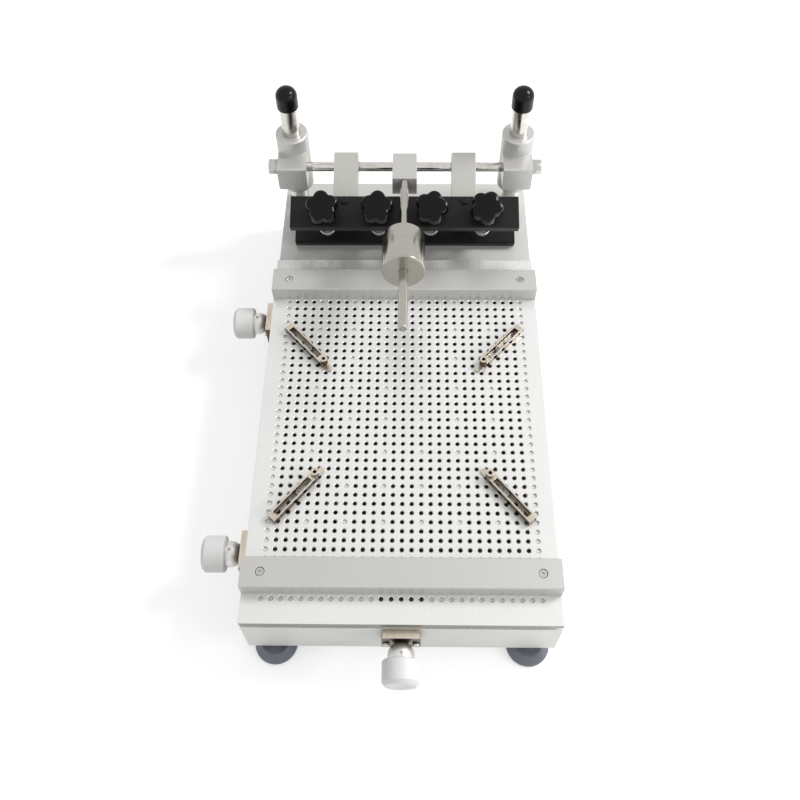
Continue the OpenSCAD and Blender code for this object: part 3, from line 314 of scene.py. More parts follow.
# Finishes by the record's material slot. Brushed lines are really a tenth of a millimetre wide and are drawn
# about a millimetre wide, which is as fine as the picture shows.
FINISHES: dict[str, Finish] = {
    # Anodised sheet has a fine satin that draws the light out into soft bands.
    "casing_finish": Finish(
        "satin_anodised_casing", "dcdcd8", "cfcfcb", roughness=0.42, metallic=0.2,
        marks=Marks.BRUSHED, line=0.9, length=60, depth=0.01, axis=ACROSS, drift=0.6, edge_wear_and_highlight=0.3),
    # Rolled sheet shows long grey streaks.
    "floor_sheet": Finish(
        "rolled_aluminium_sheet", "bfc0c0", "a9aaaa", roughness=0.4, metallic=1.0,
        marks=Marks.BRUSHED, line=1.2, length=80, depth=0.01, axis=ALONG),
    # Rubber from a mould is blue-grey, with a dull shine on its roundings.
    "foot_rubber": Finish(
        "moulded_rubber_feet", "69707c", "4b505a", roughness=0.3, metallic=0.0,
        marks=Marks.MOULDED, line=1.2, length=1.2, depth=0.05, gloss=0.8),
    # Zinc has a fine grain with bright edges.
    "plain_steel": Finish(
        "zinc_plated_steel", "c6c5c2", "94928f", roughness=0.3, metallic=1.0,
        marks=Marks.BLASTED, line=1.1, length=1.1, depth=0.01, edge_wear_and_highlight=0.3),
    # Satin nickel is pale and a little warm.
    "nickel_plate": Finish(
        "nickel_plated_steel", "dfddda", "cbc8c4", roughness=0.46, metallic=1.0,
        marks=Marks.BRUSHED, line=0.9, length=25, depth=0.01, axis=UPRIGHT, edge_wear_and_highlight=0.3),
    # Chrome mirrors the room; soft brown patches in its colour are a painted reflection of brown
    # surroundings.
    "chrome_rod": Finish(
        "ground_chromed_rod", "d9d7d3", "9a8f84", roughness=0.15, metallic=1.0,
        marks=Marks.POLISHED, line=9, length=9, depth=0.001, axis=UPRIGHT, drift=0.45),
    # Dipped vinyl keeps a gloss and a little sag.
    "soft_cap": Finish(
        "dipped_vinyl_cap", "060606", "0b0b0c", roughness=0.2, metallic=0.0,
        marks=Marks.MOULDED, line=5, length=5, depth=0.12, gloss=0.22),
    # Machined acetal is a milky white with faint rings.
    "glide_plastic": Finish(
        "machined_acetal", "e4e2da", "d2d0c8", roughness=0.45, metallic=0.0,
        marks=Marks.TURNED, line=1, length=12, depth=0.01, axis=UPRIGHT),
    # Milling leaves broad, plain lines.
    "stage_aluminium": Finish(
        "milled_aluminium", "c6c7c7", "aeafaf", roughness=0.36, metallic=1.0,
        marks=Marks.BRUSHED, line=1.5, length=30, depth=0.012, axis=ALONG),
    # The plate was brushed lengthways and anodised, so that it is nearly white; its edges and the walls of
    # its holes get a painted shade.
    "plate_aluminium": Finish(
        "brushed_anodised_plate", "eeeeec", "dededb", roughness=0.26, metallic=0.34,
        marks=Marks.BRUSHED, line=1.0, length=45, depth=0.014, axis=ALONG, drift=0.6, upright_shade="70706d"),
    # The bars were brushed crosswise and look greyer than the plate.
    "bar_aluminium": Finish(
        "brushed_anodised_bar", "cac9c6", "bebdba", roughness=0.38, metallic=0.35,
        marks=Marks.BRUSHED, line=0.9, length=60, depth=0.012, axis=ACROSS, edge_wear_and_highlight=0.4),
    # Turned brass gives a warm yellow with rings.
    "nut_brass": Finish(
        "turned_brass", "c9a765", "a98a4c", roughness=0.3, metallic=1.0,
        marks=Marks.TURNED, line=1, length=20, depth=0.01, axis=UPRIGHT),
    # White plastic with the even satin of its mould.
    "knob_white": Finish(
        "satin_moulded_knob", "e9eae8", "dedfdd", roughness=0.5, metallic=0.0,
        marks=Marks.MOULDED, line=1.4, length=1.4, depth=0.02, drift=0.4),
    # Bead blasting leaves an even, sugary grain.
    "block_aluminium": Finish(
        "bead_blasted_aluminium", "cbcac7", "b6b5b1", roughness=0.42, metallic=0.6,
        marks=Marks.BLASTED, line=1.0, length=1.0, depth=0.02, edge_wear_and_highlight=0.4),
    # The arms show the mill's lines under a clear layer.
    "arm_aluminium": Finish(
        "milled_anodised_arm", "c5c4be", "b8b7b0", roughness=0.4, metallic=0.3,
        marks=Marks.BRUSHED, line=0.9, length=40, depth=0.012, axis=ALONG, edge_wear_and_highlight=0.4),
    # Black anodising is deep and dull, a trace paler at its edges.
    "black_anodised": Finish(
        "black_anodised_bar", "101011", "19191b", roughness=0.42, metallic=0.0,
        marks=Marks.BRUSHED, line=0.9, length=50, depth=0.012, axis=ACROSS, edge_wear_and_highlight=0.05, gloss=0.25),
    # Turned steel shows bright rings.
    "pad_steel": Finish(
        "turned_steel_pad", "c0c0be", "9b9b99", roughness=0.28, metallic=1.0,
        marks=Marks.TURNED, line=0.9, length=12, depth=0.01, axis=UPRIGHT),
    # Black plastic from a polished mould has small, clear highlights.
    "knob_black": Finish(
        "glossy_moulded_knob", "060505", "0d0a09", roughness=0.16, metallic=0.0,
        marks=Marks.MOULDED, line=4, length=4, depth=0.04, gloss=0.18),
    # Turned and plated, the weight mirrors dark and light along its length.
    "weight_steel": Finish(
        "turned_nickel_weight", "b4b1aa", "8f897f", roughness=0.2, metallic=1.0,
        marks=Marks.TURNED, line=0.9, length=60, depth=0.005, axis=ALONG_ROD, drift=0.35),
    # The nickel drifts in patches to warm brown, a painted reflection of brown surroundings, and its upright
    # sides get a darker painted brown reflection and shade.
    "fixture_nickel": Finish(
        "nickel_plated_rail", "e2d9c9", "a39480", roughness=0.26, metallic=1.0,
        marks=Marks.BRUSHED, line=0.9, length=14, depth=0.012, axis=ALONG,
        drift=0.8, edge_wear_and_highlight=0.5, upright_shade="5a4b3b"),
    # Zinc on a small screw has gone grey.
    "fixture_screw_steel": Finish(
        "zinc_plated_screw", "a5a4a0", "757370", roughness=0.3, metallic=1.0,
        marks=Marks.TURNED, line=0.9, length=8, depth=0.01, axis=UPRIGHT),
}
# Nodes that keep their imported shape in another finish: the piece's name, its slot and its broken edge, mm.
RECAST = {
    "adjuster_brackets": ("wall_brackets", "fixture_nickel", 0.6),
    "counterweight_rod": ("drawn_rod", "weight_steel", 0.8),
    "clamp_bar_screws": ("blackened_bar_screws", "black_anodised", 0.5),
}
# All nodes that a piece made here stands for.
REDRAWN = {
    "hole_plate", "posts", "post_caps", "front_knob", "side_knob", "angle_knob", *RECAST,
    *(f"star_knob_{number}" for number in CLAMPS),
}
# Width to which the edges of the other nodes are broken, mm, and the nodes where it is another one.
BROKEN_EDGE = 0.5
OTHER_EDGE = {
    "base_casing": 1.0, "clamp_arms": 0.8, "rest_bars": 0.4,
    "left_hinge_block": 1.2, "right_hinge_block": 1.2,
    "upper_clamp_bar": 0.6, "lower_clamp_bar": 0.6,
    "counterweight_block": 0.8, "counterweight": 0.8,
}


def to_mesh(shape: bmesh.types.BMesh, name: str) -> bpy.types.Mesh:
    """Turns a shape into a mesh.

    Args:
        shape: The shape. It is freed.
        name: Name of the mesh.

    Returns:
        The mesh.
    """
    mesh = bpy.data.meshes.new(name)
    shape.to_mesh(mesh)
    shape.free()
    return mesh


def add_copy(shape: bmesh.types.BMesh, mesh: bpy.types.Mesh, place: Iterable[float]) -> None:
    """Adds a copy of a mesh to a shape.

    Args:
        shape: The shape, changed in place.
        mesh: What is added.
        place: Where its origin goes, metres.
    """
    start = len(shape.verts)
    shape.from_mesh(mesh)
    shape.verts.ensure_lookup_table()
    bmesh.ops.translate(shape, verts=shape.verts[start:], vec=place)


def extrude(shape: bmesh.types.BMesh,
            edges: list[bmesh.types.BMEdge]) -> tuple[list[bmesh.types.BMVert], list[bmesh.types.BMEdge]]:
    """Extrudes a loop, whose copy stays where it is.

    Args:
        shape: The shape, changed in place.
        edges: The loop.

    Returns:
        Corners and edges of the new loop.
    """
    new = bmesh.ops.extrude_edge_only(shape, edges=edges)["geom"]
    corners = [item for item in new if isinstance(item, bmesh.types.BMVert)]
    return corners, [item for item in new if isinstance(item, bmesh.types.BMEdge)]


def raise_loop(shape: bmesh.types.BMesh, edges: list[bmesh.types.BMEdge], scale: float,
               rise: float) -> list[bmesh.types.BMEdge]:
    """Extrudes a loop about the upright axis.

    Args:
        shape: The shape, changed in place.
        edges: The loop.
        scale: Scale of the new loop.
        rise: How far it goes up, mm.

    Returns:
        The new loop.
    """
    corners, loop = extrude(shape, edges)
    bmesh.ops.scale(shape, verts=corners, vec=(scale, scale, 1.0))
    bmesh.ops.translate(shape, verts=corners, vec=(0, 0, rise * MM))
    return loop


def revolve(profile: Iterable[tuple[float, float]], steps: int = 72) -> bmesh.types.BMesh:
    """Spins a half profile round the upright axis.

    Args:
        profile: Radius and height of each corner, mm, from the axis round to the axis.
        steps: Steps of the full turn.

    Returns:
        The closed shape, in metres about the origin.
    """
    shape = bmesh.new()
    corners = [shape.verts.new((radius * MM, 0.0, height * MM)) for radius, height in profile]
    edges = [shape.edges.new(pair) for pair in zip(corners, corners[1:])]
    bmesh.ops.spin(shape, geom=corners + edges, cent=(0, 0, 0), axis=UPRIGHT, angle=2 * math.pi,
                   steps=steps, use_merge=True)
    bmesh.ops.remove_doubles(shape, verts=shape.verts, dist=SAME)
    bmesh.ops.recalc_face_normals(shape, faces=shape.faces)
    return shape


def is_sharp(edge: bmesh.types.BMEdge) -> bool:
    """Says whether two faces meet at an edge and turn sharply there."""
    return len(edge.link_faces) == 2 and edge.calc_face_angle() > SHARP


def ease(shape: bmesh.types.BMesh, width: float, segments: int = 3) -> None:
    """Rounds every sharp edge of a shape.

    Args:
        shape: The shape, changed in place.
        width: Width of the rounding, mm.
        segments: Facets across the rounding.
    """
    sharp = [edge for edge in shape.edges if is_sharp(edge)]
    bmesh.ops.bevel(shape, geom=sharp, offset=width * MM, offset_type="OFFSET", affect="EDGES",
                    segments=segments, profile=0.5, material=-1, clamp_overlap=True)


def stand(shape: bmesh.types.BMesh, foot: Vector, axis: Vector) -> None:
    """Turns a shape from the upright axis to another one and moves it there.

    Args:
        shape: The shape, changed in place.
        foot: Where its origin goes, metres.
        axis: Where its upright axis points.
    """
    turn = Vector(UPRIGHT).rotation_difference(axis).to_matrix().to_4x4()
    bmesh.ops.transform(shape, matrix=Matrix.Translation(foot) @ turn, verts=shape.verts)


def dome(radius: float, height: float, rise: float, steps: int = 10) -> list[tuple[float, float]]:
    """Gives the corners of a dome's half profile, from its rim to the axis.

    Args:
        radius: Radius at the rim, mm.
        height: Height of the rim, mm.
        rise: Height of the dome over its rim, mm.
        steps: Steps of the quarter turn.

    Returns:
        Radius and height of each corner, mm.
    """
    turns = [math.pi / 2 * number / steps for number in range(steps)]
    curve = [(radius * math.cos(turn), height + rise * math.sin(turn)) for turn in turns]
    return curve + [(0.0, height + rise)]


def middle(node: str) -> Vector:
    """Gives the middle of a node's box, metres."""
    low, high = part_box(node)
    return (Vector(low) + Vector(high)) / 2


def spread(node: str) -> Vector:
    """Gives the size of a node's box, mm."""
    low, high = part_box(node)
    return (Vector(high) - Vector(low)) / MM


class Kit:
    """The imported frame, with the materials and the calls that every sub-assembly uses."""

    def __init__(self, frame: dict[str, Any]) -> None:
        """Keeps the frame and makes one material for each slot.
        """
        self.frame = frame
        self.materials = {slot: finish.material() for slot, finish in FINISHES.items()}
        self.slot_of = {row["node"]: row["material_slot"] for row in frame["record"]["subparts"]}
        behaviour = frame["record"]["behaviour"]
        self.body_of = {node: body for body, nodes in behaviour["bodies"].items() for node in nodes}
        self.joint = {row["name"]: row for row in behaviour["joints"]}

    def corners(self, node: str) -> list[Vector]:
        """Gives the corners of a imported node's mesh, metres."""
        return [vert.co.copy() for vert in self.frame["nodes"][node].data.vertices]

    def publish(self, shape: bmesh.types.BMesh, name: str, stands_for: str, slot: str | None = None,
                hides: bool = True) -> bpy.types.Object:
        """Makes a finished piece of a shape.

        Args:
            shape: The shape, in metres in the part's frame. It is freed.
            name: Name of the piece.
            stands_for: Node whose body carries the piece.
            slot: Material slot, the node's own when left out.
            hides: Whether the piece stands for that node.

        Returns:
            The new object.
        """
        slot = slot or self.slot_of[stands_for]
        bmesh.ops.remove_doubles(shape, verts=shape.verts, dist=SAME)
        bmesh.ops.recalc_face_normals(shape, faces=shape.faces)
        mesh = to_mesh(shape, name)
        mesh.shade_smooth()
        mesh.set_sharp_from_angle(angle=SHARP)
        piece = bpy.data.objects.new(name, mesh)
        bpy.context.collection.objects.link(piece)
        mesh.materials.append(self.materials[slot])
        # A wide face stays flat to the light beside a narrow rounding.
        flat = piece.modifiers.new("flat_faces", "WEIGHTED_NORMAL")
        flat.keep_sharp = True
        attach(piece, self.body_of[stands_for])
        if hides:
            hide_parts(stands_for)
        LOG.info("piece %s on %s", name, self.body_of[stands_for])
        return piece

    def recast(self, node: str, name: str, slot: str, width: float) -> None:
        """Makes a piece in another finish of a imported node's own shape.

        Args:
            node: The node.
            name: Name of the piece.
            slot: Material slot of the piece.
            width: Width to which its edges are broken, mm.
        """
        shape = bmesh.new()
        shape.from_mesh(self.frame["nodes"][node].data)
        bmesh.ops.remove_doubles(shape, verts=shape.verts, dist=WELD)
        bmesh.ops.dissolve_limit(shape, angle_limit=FLAT, verts=shape.verts, edges=shape.edges)
        ease(shape, width, segments=2)
        self.publish(shape, name, node, slot)

    def dress(self) -> None:
        """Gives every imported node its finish."""
        for node, piece in self.frame["nodes"].items():
            piece.data.materials.clear()
            piece.data.materials.append(self.materials[self.slot_of[node]])
            if node not in REDRAWN:
                self.break_edges(piece, OTHER_EDGE.get(node, BROKEN_EDGE))
            LOG.info("node %s in %s", node, self.slot_of[node])

    @staticmethod
    def break_edges(piece: bpy.types.Object, width: float) -> None:
        """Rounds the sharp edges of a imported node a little.

        Args:
            piece: The node's object.
            width: Width of the rounding, mm.
        """
        weld = piece.modifiers.new("weld", "WELD")
        weld.merge_threshold = WELD
        faces = piece.modifiers.new("whole_faces", "DECIMATE")
        faces.decimate_type = "DISSOLVE"
        faces.angle_limit = FLAT
        bevel = piece.modifiers.new("broken_edge", "BEVEL")
        bevel.width = width * MM
        bevel.segments = 2
        bevel.limit_method = "ANGLE"
        bevel.angle_limit = SHARP
        bevel.use_clamp_overlap = True
        bevel.harden_normals = True


@dataclass
class HolePlate:
    """The plate with its grid of holes.

    Attributes:
        kit: The frame and its materials.
        pitch: Distance between holes, mm.
        columns: Holes across.
        rows: Holes lengthways.
        hole: Diameter of a hole, mm.
        rim: Width of the chamfer at its mouth, mm.
        blind: Depth of a blind hole, mm.
        sides: Facets of a hole.
        every: A blind hole comes after so many columns and rows.
        bars: Rows under the middles of the two rest bars.
        open_front: Columns beside the middle one that are open in the first row.
        edge: Width of the rounding at the plate's outer edges, mm.
        near: Share of a border's distance from which a corner counts as on it.
        past: Share of the grid's half size from which a corner counts as in the margin.
    """

    kit: Kit
    pitch: float = 10.0
    columns: int = 29
    rows: int = 41
    hole: float = 4.5
    rim: float = 0.8
    blind: float = 2.0
    sides: int = 16
    every: int = 4
    bars: tuple[int, int] = (2, 38)
    open_front: int = 2
    edge: float = 0.6
    near: float = 0.999
    past: float = 1.02

    def is_blind(self, column: int, row: int) -> bool:
        """Says whether a hole is a blind one.

        Args:
            column: Column from the left.
            row: Row from the front.

        Returns:
            True for a blind hole.
        """
        if min(abs(row - bar) for bar in self.bars) <= 1:
            return False
        if column in (0, self.columns - 1):
            return True
        if row == 0:
            return abs(column - self.columns // 2) > self.open_front
        return row % self.every == 0 and row < self.bars[1] and column % self.every == 0

    @staticmethod
    def square_up(ring: Iterable[bmesh.types.BMVert], half: float) -> None:
        """Moves the corners of a ring out to a square.

        Args:
            ring: The corners, changed in place.
            half: Half the width of the square, metres.
        """
        for vert in ring:
            reach = half / max(abs(vert.co.x), abs(vert.co.y))
            vert.co.x *= reach
            vert.co.y *= reach

    def is_side(self, face: bmesh.types.BMFace) -> bool:
        """Says whether a face of a cell stands on its outer border.

        Args:
            face: The face.

        Returns:
            True for an upright face on the border.
        """
        border = self.pitch / 2 * MM * self.near
        on_border = all(max(abs(vert.co.x), abs(vert.co.y)) > border for vert in face.verts)
        return on_border and abs(face.normal.z) < 0.5

    def cell(self, thick: float, blind: bool) -> bpy.types.Mesh:
        """Makes one square of the plate with its hole.

        Args:
            thick: Thickness of the plate, mm.
            blind: Whether the hole has a floor.

        Returns:
            The mesh, with its top at the origin's height.
        """
        shape = bmesh.new()
        half = self.pitch / 2 * MM
        self.square_up(bmesh.ops.create_circle(shape, segments=self.sides, radius=half)["verts"], half)
        border = shape.edges[:]
        radius = self.hole / 2 * MM
        wide = radius + self.rim * MM
        bmesh.ops.create_circle(shape, segments=self.sides, radius=wide)
        mouth = [edge for edge in shape.edges if edge not in border]
        bmesh.ops.bridge_loops(shape, edges=shape.edges[:])
        wall = raise_loop(shape, mouth, radius / wide, -self.rim)
        deep = self.blind if blind else thick
        wall = raise_loop(shape, wall, 1.0, self.rim - deep)
        if blind:
            bmesh.ops.contextual_create(shape, geom=wall)
            under, ring = extrude(shape, border)
            bmesh.ops.translate(shape, verts=under, vec=(0, 0, -thick * MM))
            bmesh.ops.contextual_create(shape, geom=ring)
            sides = [face for face in shape.faces if self.is_side(face)]
            bmesh.ops.delete(shape, geom=sides, context="FACES")
        else:
            self.square_up(extrude(shape, wall)[0], half)
        return to_mesh(shape, "cell")

    def strip(self, cells: dict[bool, bpy.types.Mesh], column: int) -> bpy.types.Mesh:
        """Joins the cells of one column.

        Args:
            cells: Mesh of a blind cell and of an open one.
            column: Column from the left.

        Returns:
            The column's mesh, centred on the origin.
        """
        shape = bmesh.new()
        for row in range(self.rows):
            place = (0, (row - (self.rows - 1) / 2) * self.pitch * MM, 0)
            add_copy(shape, cells[self.is_blind(column, row)], place)
        return to_mesh(shape, "strip")

    def move_border(self, corners: Iterable[bmesh.types.BMVert], start: Vector, end: Vector) -> None:
        """Moves the corners on the sides of one rectangle to another's.

        Args:
            corners: The corners, changed in place.
            start: Half width and half length of the first rectangle, metres.
            end: The same for the second one.
        """
        for vert in corners:
            for axis in (0, 1):
                if abs(vert.co[axis]) > start[axis] * self.near:
                    vert.co[axis] = math.copysign(end[axis], vert.co[axis])

    def close(self, shape: bmesh.types.BMesh, size: Vector) -> None:
        """Closes the grid with the plate's plain margin and its four sides.

        Args:
            shape: The grid about the origin, changed in place.
            size: Width, length and thickness of the plate, mm.
        """
        grid = Vector((self.columns, self.rows)) * self.pitch / 2 * MM
        plate = Vector((size.x, size.y)) / 2 * MM
        half_way = -size.z / 2 * MM
        loop = [edge for edge in shape.edges
                if edge.is_boundary and max(vert.co.z for vert in edge.verts) > half_way]
        margin, rim = extrude(shape, loop)
        self.move_border(margin, grid, plate)
        low = raise_loop(shape, rim, 1.0, -size.z)
        self.move_border(extrude(shape, low)[0], plate, grid)
        bmesh.ops.remove_doubles(shape, verts=shape.verts, dist=WELD)
        past = grid * self.past
        outer = [edge for edge in shape.edges if is_sharp(edge)
                 and all(abs(vert.co.x) > past.x or abs(vert.co.y) > past.y for vert in edge.verts)]
        bmesh.ops.bevel(shape, geom=outer, offset=self.edge * MM, offset_type="OFFSET", affect="EDGES",
                        segments=2, profile=0.5, material=-1)

    def build(self) -> None:
        """Makes the plate and puts it in its node's place."""
        size = spread("hole_plate")
        cells = {blind: self.cell(size.z, blind) for blind in (False, True)}
        strips: dict[tuple[bool, ...], bpy.types.Mesh] = {}
        shape = bmesh.new()
        for column in range(self.columns):
            pattern = tuple(self.is_blind(column, row) for row in range(self.rows))
            if pattern not in strips:
                strips[pattern] = self.strip(cells, column)
            add_copy(shape, strips[pattern], ((column - (self.columns - 1) / 2) * self.pitch * MM, 0, 0))
        bmesh.ops.remove_doubles(shape, verts=shape.verts, dist=WELD)
        self.close(shape, size)
        place = middle("hole_plate")
        place.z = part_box("hole_plate")[1][2]
        bmesh.ops.translate(shape, verts=shape.verts, vec=place)
        self.kit.publish(shape, "drilled_plate", "hole_plate")


@dataclass
class Adjuster:
    """A lead screw's knob, a plain drum with a wide outer chamfer and a shallow dish in its face.

    Attributes:
        kit: The frame and its materials.
        name: Which of the three it is.
        axis: Direction from the knob into the machine.
        chamfer: Width of the outer chamfer, mm.
        back: Width of the chamfer at the back, mm.
        dish: Radius of the dish at its floor and at its rim, as shares of the knob's.
        deep: Depth of the dish, mm.
        edge: Width of the rounding at all edges, mm.
    """

    kit: Kit
    name: str
    axis: Vector
    chamfer: float = 3.5
    back: float = 1.0
    dish: tuple[float, float] = (0.42, 0.45)
    deep: float = 0.8
    edge: float = 0.5

    def build(self) -> None:
        """Makes the knob in its node's place."""
        node = f"{self.name}_knob"
        size = spread(node)
        along = abs(size.dot(self.axis))
        radius = size.z / 2
        floor, rim = (radius * share for share in self.dish)
        face = [(0, self.deep), (floor, self.deep), (rim, 0), (radius - self.chamfer, 0)]
        drum = [(radius, self.chamfer), (radius, along - self.back), (radius - self.back, along), (0, along)]
        shape = revolve(face + drum, steps=96)
        ease(shape, self.edge)
        stand(shape, middle(node) - self.axis * along / 2 * MM, self.axis)
        self.kit.publish(shape, f"{self.name}_adjuster_knob", node)


@dataclass
class StarKnob:
    """A clamp screw: a moulded five-lobed head with a boss, on a threaded spindle.

    Attributes:
        kit: The frame and its materials.
        number: Which of the four it is.
        lobes: Lobes of the head.
        head: Diameter over the lobes, mm.
        lobe: Radius of a lobe's round end, mm.
        valley: Depth of the hollows between them, mm.
        crease: How crisply lobes and hollows meet, as a power.
        twist: How far each knob is turned further than the one before, radians.
        foot: Size of the head's underside, as a share of the whole.
        levels: Scale of each loop of the head against the one below and its rise, mm, upwards.
        boss: Diameter and height of the boss under the head, mm.
        boss_edge: Width of the chamfer under the boss, mm.
        sunk: How far the boss reaches into the head, mm.
        spindle: Diameter of the spindle over its thread, mm.
        pitch: Pitch of the thread, mm.
        groove: Depth of the thread, as a share of the spindle's radius.
    """

    kit: Kit
    number: int
    lobes: int = 5
    head: float = 40.5
    lobe: float = 8.8
    valley: float = 4.6
    crease: int = 12
    twist: float = 0.2
    foot: float = 0.94
    levels: tuple[tuple[float, float], ...] = (
        (1.05, 0.5), (1.013, 1.0), (0.99, 4.0), (0.97, 5.0), (0.975, 2.4),
        (0.95, 1.4), (0.9, 0.9), (0.8, 0.5), (0.6, 0.3))
    boss: tuple[float, float] = (15.0, 4.0)
    boss_edge: float = 0.8
    sunk: float = 1.0
    spindle: float = 7.9
    pitch: float = 1.25
    groove: float = 0.13

    def outline(self, angle: float) -> float:
        """Gives the head's radius in one direction.

        Args:
            angle: Direction, radians.

        Returns:
            Share of the radius over the lobes.
        """
        radius = self.head / 2
        share = 2 * math.pi / self.lobes
        off = (angle + self.twist * self.number) % share - share / 2
        reach = radius - self.lobe
        petal = reach * math.cos(off) + math.sqrt(self.lobe ** 2 - (reach * math.sin(off)) ** 2)
        hollow = radius - self.valley
        return (petal ** self.crease + hollow ** self.crease) ** (1 / self.crease) / radius

    def crown(self) -> bmesh.types.BMesh:
        """Makes the lobed head.

        Returns:
            The head, its underside at the origin.
        """
        shape = bmesh.new()
        bmesh.ops.create_circle(shape, segments=100, radius=self.head / 2 * MM)
        for vert in shape.verts:
            vert.co *= self.outline(math.atan2(vert.co.y, vert.co.x))
        edges = shape.edges[:]
        bmesh.ops.contextual_create(shape, geom=edges)
        bmesh.ops.scale(shape, verts=shape.verts, vec=(self.foot, self.foot, 1.0))
        for scale, rise in self.levels:
            edges = raise_loop(shape, edges, scale, rise)
        bmesh.ops.contextual_create(shape, geom=edges)
        return shape

    def thread(self, length: float) -> bmesh.types.BMesh:
        """Makes the spindle with its right-hand thread.

        Args:
            length: Length of the spindle, mm.

        Returns:
            The spindle, its lower end at the origin.
        """
        rows_per_turn = 4
        rows = int(length / self.pitch * rows_per_turn)
        shape = bmesh.new()
        bmesh.ops.create_circle(shape, segments=24, radius=self.spindle / 2 * MM)
        edges = shape.edges[:]
        bmesh.ops.contextual_create(shape, geom=edges)
        for _ in range(rows):
            edges = raise_loop(shape, edges, 1.0, length / rows)
        bmesh.ops.contextual_create(shape, geom=edges)
        for vert in shape.verts:
            turns = vert.co.z / (self.pitch * MM) - math.atan2(vert.co.y, vert.co.x) / (2 * math.pi)
            left = 1 - self.groove * abs(2 * (turns % 1.0) - 1)
            vert.co.x *= left
            vert.co.y *= left
        return shape

    def build(self) -> None:
        """Makes the head, its boss and the spindle in their node's place."""
        node = f"star_knob_{self.number}"
        joint = self.kit.joint[f"star_{self.number}_turn"]
        axis = Vector(joint["axis"]).normalized()
        foot = Vector(joint["pos_m"])
        low = min(axis.dot(corner) for corner in self.kit.corners(node))
        length = (axis.dot(foot) - low) / MM
        width, height = self.boss
        radius, top = width / 2, height + self.sunk
        edge = self.boss_edge
        boss = revolve([(0, 0), (radius - edge, 0), (radius, edge), (radius, top), (0, top)])
        stand(boss, foot, axis)
        self.kit.publish(boss, f"star_boss_{self.number}", node, hides=False)
        spindle = self.thread(length)
        stand(spindle, foot - axis * length * MM, axis)
        self.kit.publish(spindle, f"clamp_spindle_{self.number}", node, "pad_steel", hides=False)
        crown = self.crown()
        stand(crown, foot + axis * height * MM, axis)
        self.kit.publish(crown, f"star_head_{self.number}", node)


@dataclass
class Turned:
    """A round piece that stands at several places.

    Attributes:
        kit: The frame and its materials.
        name: Name of the piece.
        node: Node that it stands for.
        profile: Radius and height of each corner, mm, from the axis round to the axis.
        places: Foot of each one, metres.
    """

    kit: Kit
    name: str
    node: str
    profile: list[tuple[float, float]]
    places: list[tuple[float, float, float]]

    def build(self) -> None:
        """Makes all of them in one piece."""
        one = to_mesh(revolve(self.profile, steps=64), "turned")
        shape = bmesh.new()
        for place in self.places:
            add_copy(shape, one, place)
        self.kit.publish(shape, self.name, self.node)


@dataclass
class Posts:
    """The two posts, round-nosed under their dipped caps.

    Attributes:
        kit: The frame and its materials.
        nose: Height of a post's rounded nose, mm.
        stud: Diameter of the stud under a post, mm.
        dome: Height of a cap's dome, mm.
        skin: Thickness of a cap, mm.
        roof: Height of a cap over the end of the post, mm.
        air: Gap between the nose and the cap, mm.
        lip: Width of the rounding at a cap's mouth, and its height outside, mm.
    """

    kit: Kit
    nose: float = 9.0
    stud: float = 12.0
    dome: float = 12.0
    skin: float = 1.9
    roof: float = 3.0
    air: float = 0.3
    lip: tuple[float, float] = (0.5, 0.7)

    def build(self) -> None:
        """Makes posts and caps in their nodes' places."""
        low, high = (Vector(corner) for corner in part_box("post_caps"))
        radius = (high.y - low.y) / 2 / MM
        tall = (high.z - low.z) / MM
        feet = [(x, low.y + radius * MM, low.z) for x in (low.x + radius * MM, high.x - radius * MM)]
        inner = radius - self.skin
        lip, rise = self.lip
        mouth = [(inner, lip), (inner + lip, 0), (radius - lip, 0), (radius, rise)]
        outside = dome(radius, tall - self.dome, self.dome)
        inside = dome(inner, tall - self.roof - self.nose, self.nose + self.air)
        profile = mouth + outside + inside[::-1] + mouth[:1]
        Turned(self.kit, "dipped_caps", "post_caps", profile, feet).build()
        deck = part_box("base_casing")[1][2]
        foot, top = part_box("posts")[0][2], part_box("posts")[1][2]
        width = spread("posts").y / 2
        seat = (deck - foot) / MM
        nosed = dome(width, (top - foot) / MM - self.nose, self.nose)
        stud = [(0, 0), (self.stud / 2, 0), (self.stud / 2, seat), (width, seat)]
        Turned(self.kit, "ground_posts", "posts", stud + nosed, [(x, y, foot) for x, y, _ in feet]).build()


@dataclass(frozen=True)
class Lamp:
    """A soft lamp.

    Attributes:
        name: Name of the lamp.
        place: Where it hangs, metres.
        size: Width and height of its face, metres.
        power: Power, watts.
    """

    name: str
    place: tuple[float, float, float]
    size: tuple[float, float]
    power: float

    def build(self, target: Vector) -> None:
        """Hangs the lamp.

        Args:
            target: Where it looks, metres.
        """
        data = bpy.data.lights.new(self.name, "AREA")
        data.shape = "RECTANGLE"
        data.size, data.size_y = self.size
        data.energy = self.power
        lamp = bpy.data.objects.new(self.name, data)
        lamp.location = self.place
        aim = target - Vector(self.place)
        lamp.rotation_euler = aim.to_track_quat("-Z", "Y").to_euler()
        bpy.context.collection.objects.link(lamp)


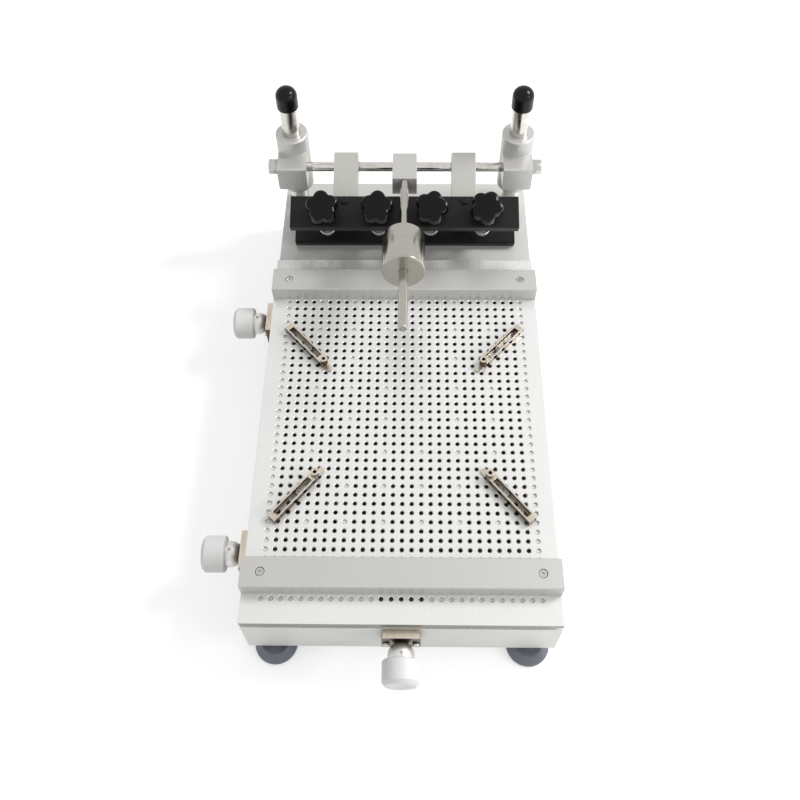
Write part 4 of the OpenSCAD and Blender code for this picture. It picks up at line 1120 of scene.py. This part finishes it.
class Studio:
    """Floor, light and camera.

    The camera stands where the photograph was taken from: high over the operator's side.
    """

    LOCATION = Vector((30.3, -527.4, 1015.9)) * MM
    DOWN = math.radians(54.71)
    HEADING = math.radians(1.37)
    ROLL = math.radians(-0.91)
    LENS = 41.12
    SENSOR = 36.0
    SHIFT_Y = -0.125
    NEAREST = 0.01
    # The lamps hang on the right: a key lamp at the back, and a low, wide one for the front and that side.
    LAMPS = (Lamp("key", (1.5, 0.5, 1.7), (0.6, 0.6), 27), Lamp("window", (1.5, -0.7, 0.9), (1.0, 0.15), 7))
    TARGET = Vector((0.0, 0.0, 0.1))
    # Strength of the white surround as a light, and as the eye and mirrors see it.
    SOFT_LIGHT = 0.55
    SEEN = 1.0
    FLOOR_REACH = 4.0
    FLOOR_COLOUR = "f4f4f4"
    FLOOR_GLOW = 0.45
    WHITE = (1, 1, 1, 1)

    def camera(self) -> None:
        """Makes the camera."""
        data = bpy.data.cameras.new("camera")
        data.sensor_width = self.SENSOR
        data.lens = self.LENS
        data.shift_y = self.SHIFT_Y
        data.clip_start = self.NEAREST
        camera = bpy.data.objects.new("camera", data)
        turn = (Matrix.Rotation(self.HEADING, 4, "Z") @ Matrix.Rotation(math.pi / 2 - self.DOWN, 4, "X")
                @ Matrix.Rotation(self.ROLL, 4, "Z"))
        camera.matrix_world = Matrix.Translation(self.LOCATION) @ turn
        bpy.context.collection.objects.link(camera)
        bpy.context.scene.camera = camera

    @staticmethod
    def backdrop(tree: bpy.types.NodeTree) -> bpy.types.NodeSocket:
        """Tells what is seen from what lights the part.

        Args:
            tree: Node tree that gets the nodes.

        Returns:
            One for what the camera, mirrors and glass see, zero for other light.
        """
        path = add(tree, "ShaderNodeLightPath")
        seen = add(tree, "ShaderNodeMath", {"operation": "MAXIMUM"},
                   {0: path.outputs["Is Camera Ray"], 1: path.outputs["Is Glossy Ray"]}).outputs[0]
        return add(tree, "ShaderNodeMath", {"operation": "MAXIMUM"},
                   {0: seen, 1: path.outputs["Is Transmission Ray"]}).outputs[0]

    def world(self) -> None:
        """Makes a white surround that lights the part softly."""
        world = bpy.data.worlds.new("studio")
        bpy.context.scene.world = world
        world.use_nodes = True
        tree = world.node_tree
        tree.nodes.clear()
        level = remap(tree, self.backdrop(tree), (0.0, 1.0), (self.SOFT_LIGHT, self.SEEN))
        light = add(tree, "ShaderNodeBackground", None, {"Color": self.WHITE, "Strength": level})
        add(tree, "ShaderNodeOutputWorld", None, {"Surface": light.outputs[0]})

    def floor(self) -> None:
        """Makes the pale floor, which shows white and keeps the shadow."""
        shape = bmesh.new()
        bmesh.ops.create_grid(shape, x_segments=1, y_segments=1, size=self.FLOOR_REACH)
        mesh = to_mesh(shape, "floor")
        floor = bpy.data.objects.new("floor", mesh)
        bpy.context.collection.objects.link(floor)
        made = bpy.data.materials.new("pale_floor")
        made.use_nodes = True
        tree = made.node_tree
        tree.nodes.clear()
        pale = add(tree, "ShaderNodeBsdfDiffuse", None, {"Color": linear(self.FLOOR_COLOUR)})
        glow = add(tree, "ShaderNodeEmission", None, {"Color": self.WHITE, "Strength": self.FLOOR_GLOW})
        both = add(tree, "ShaderNodeAddShader", None, {0: pale.outputs[0], 1: glow.outputs[0]})
        choice = add(tree, "ShaderNodeMixShader", None,
                     {0: self.backdrop(tree), 1: pale.outputs[0], 2: both.outputs[0]})
        add(tree, "ShaderNodeOutputMaterial", None, {"Surface": choice.outputs[0]})
        mesh.materials.append(made)

    def build(self) -> None:
        """Makes the whole studio."""
        self.camera()
        self.world()
        self.floor()
        for lamp in self.LAMPS:
            lamp.build(self.TARGET)
        bpy.context.scene.view_settings.view_transform = "Standard"


def main() -> None:
    """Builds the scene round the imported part."""
    logging.basicConfig(level=logging.INFO, format="%(message)s")
    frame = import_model()
    Studio().build()
    kit = Kit(frame)
    kit.dress()
    HolePlate(kit).build()
    for name, axis in (("front", ALONG), ("side", ACROSS), ("angle", ACROSS)):
        Adjuster(kit, name, Vector(axis)).build()
    for number in CLAMPS:
        StarKnob(kit, number).build()
    Posts(kit).build()
    for node, (name, slot, width) in RECAST.items():
        kit.recast(node, name, slot, width)


if __name__ == "__main__":
    main()
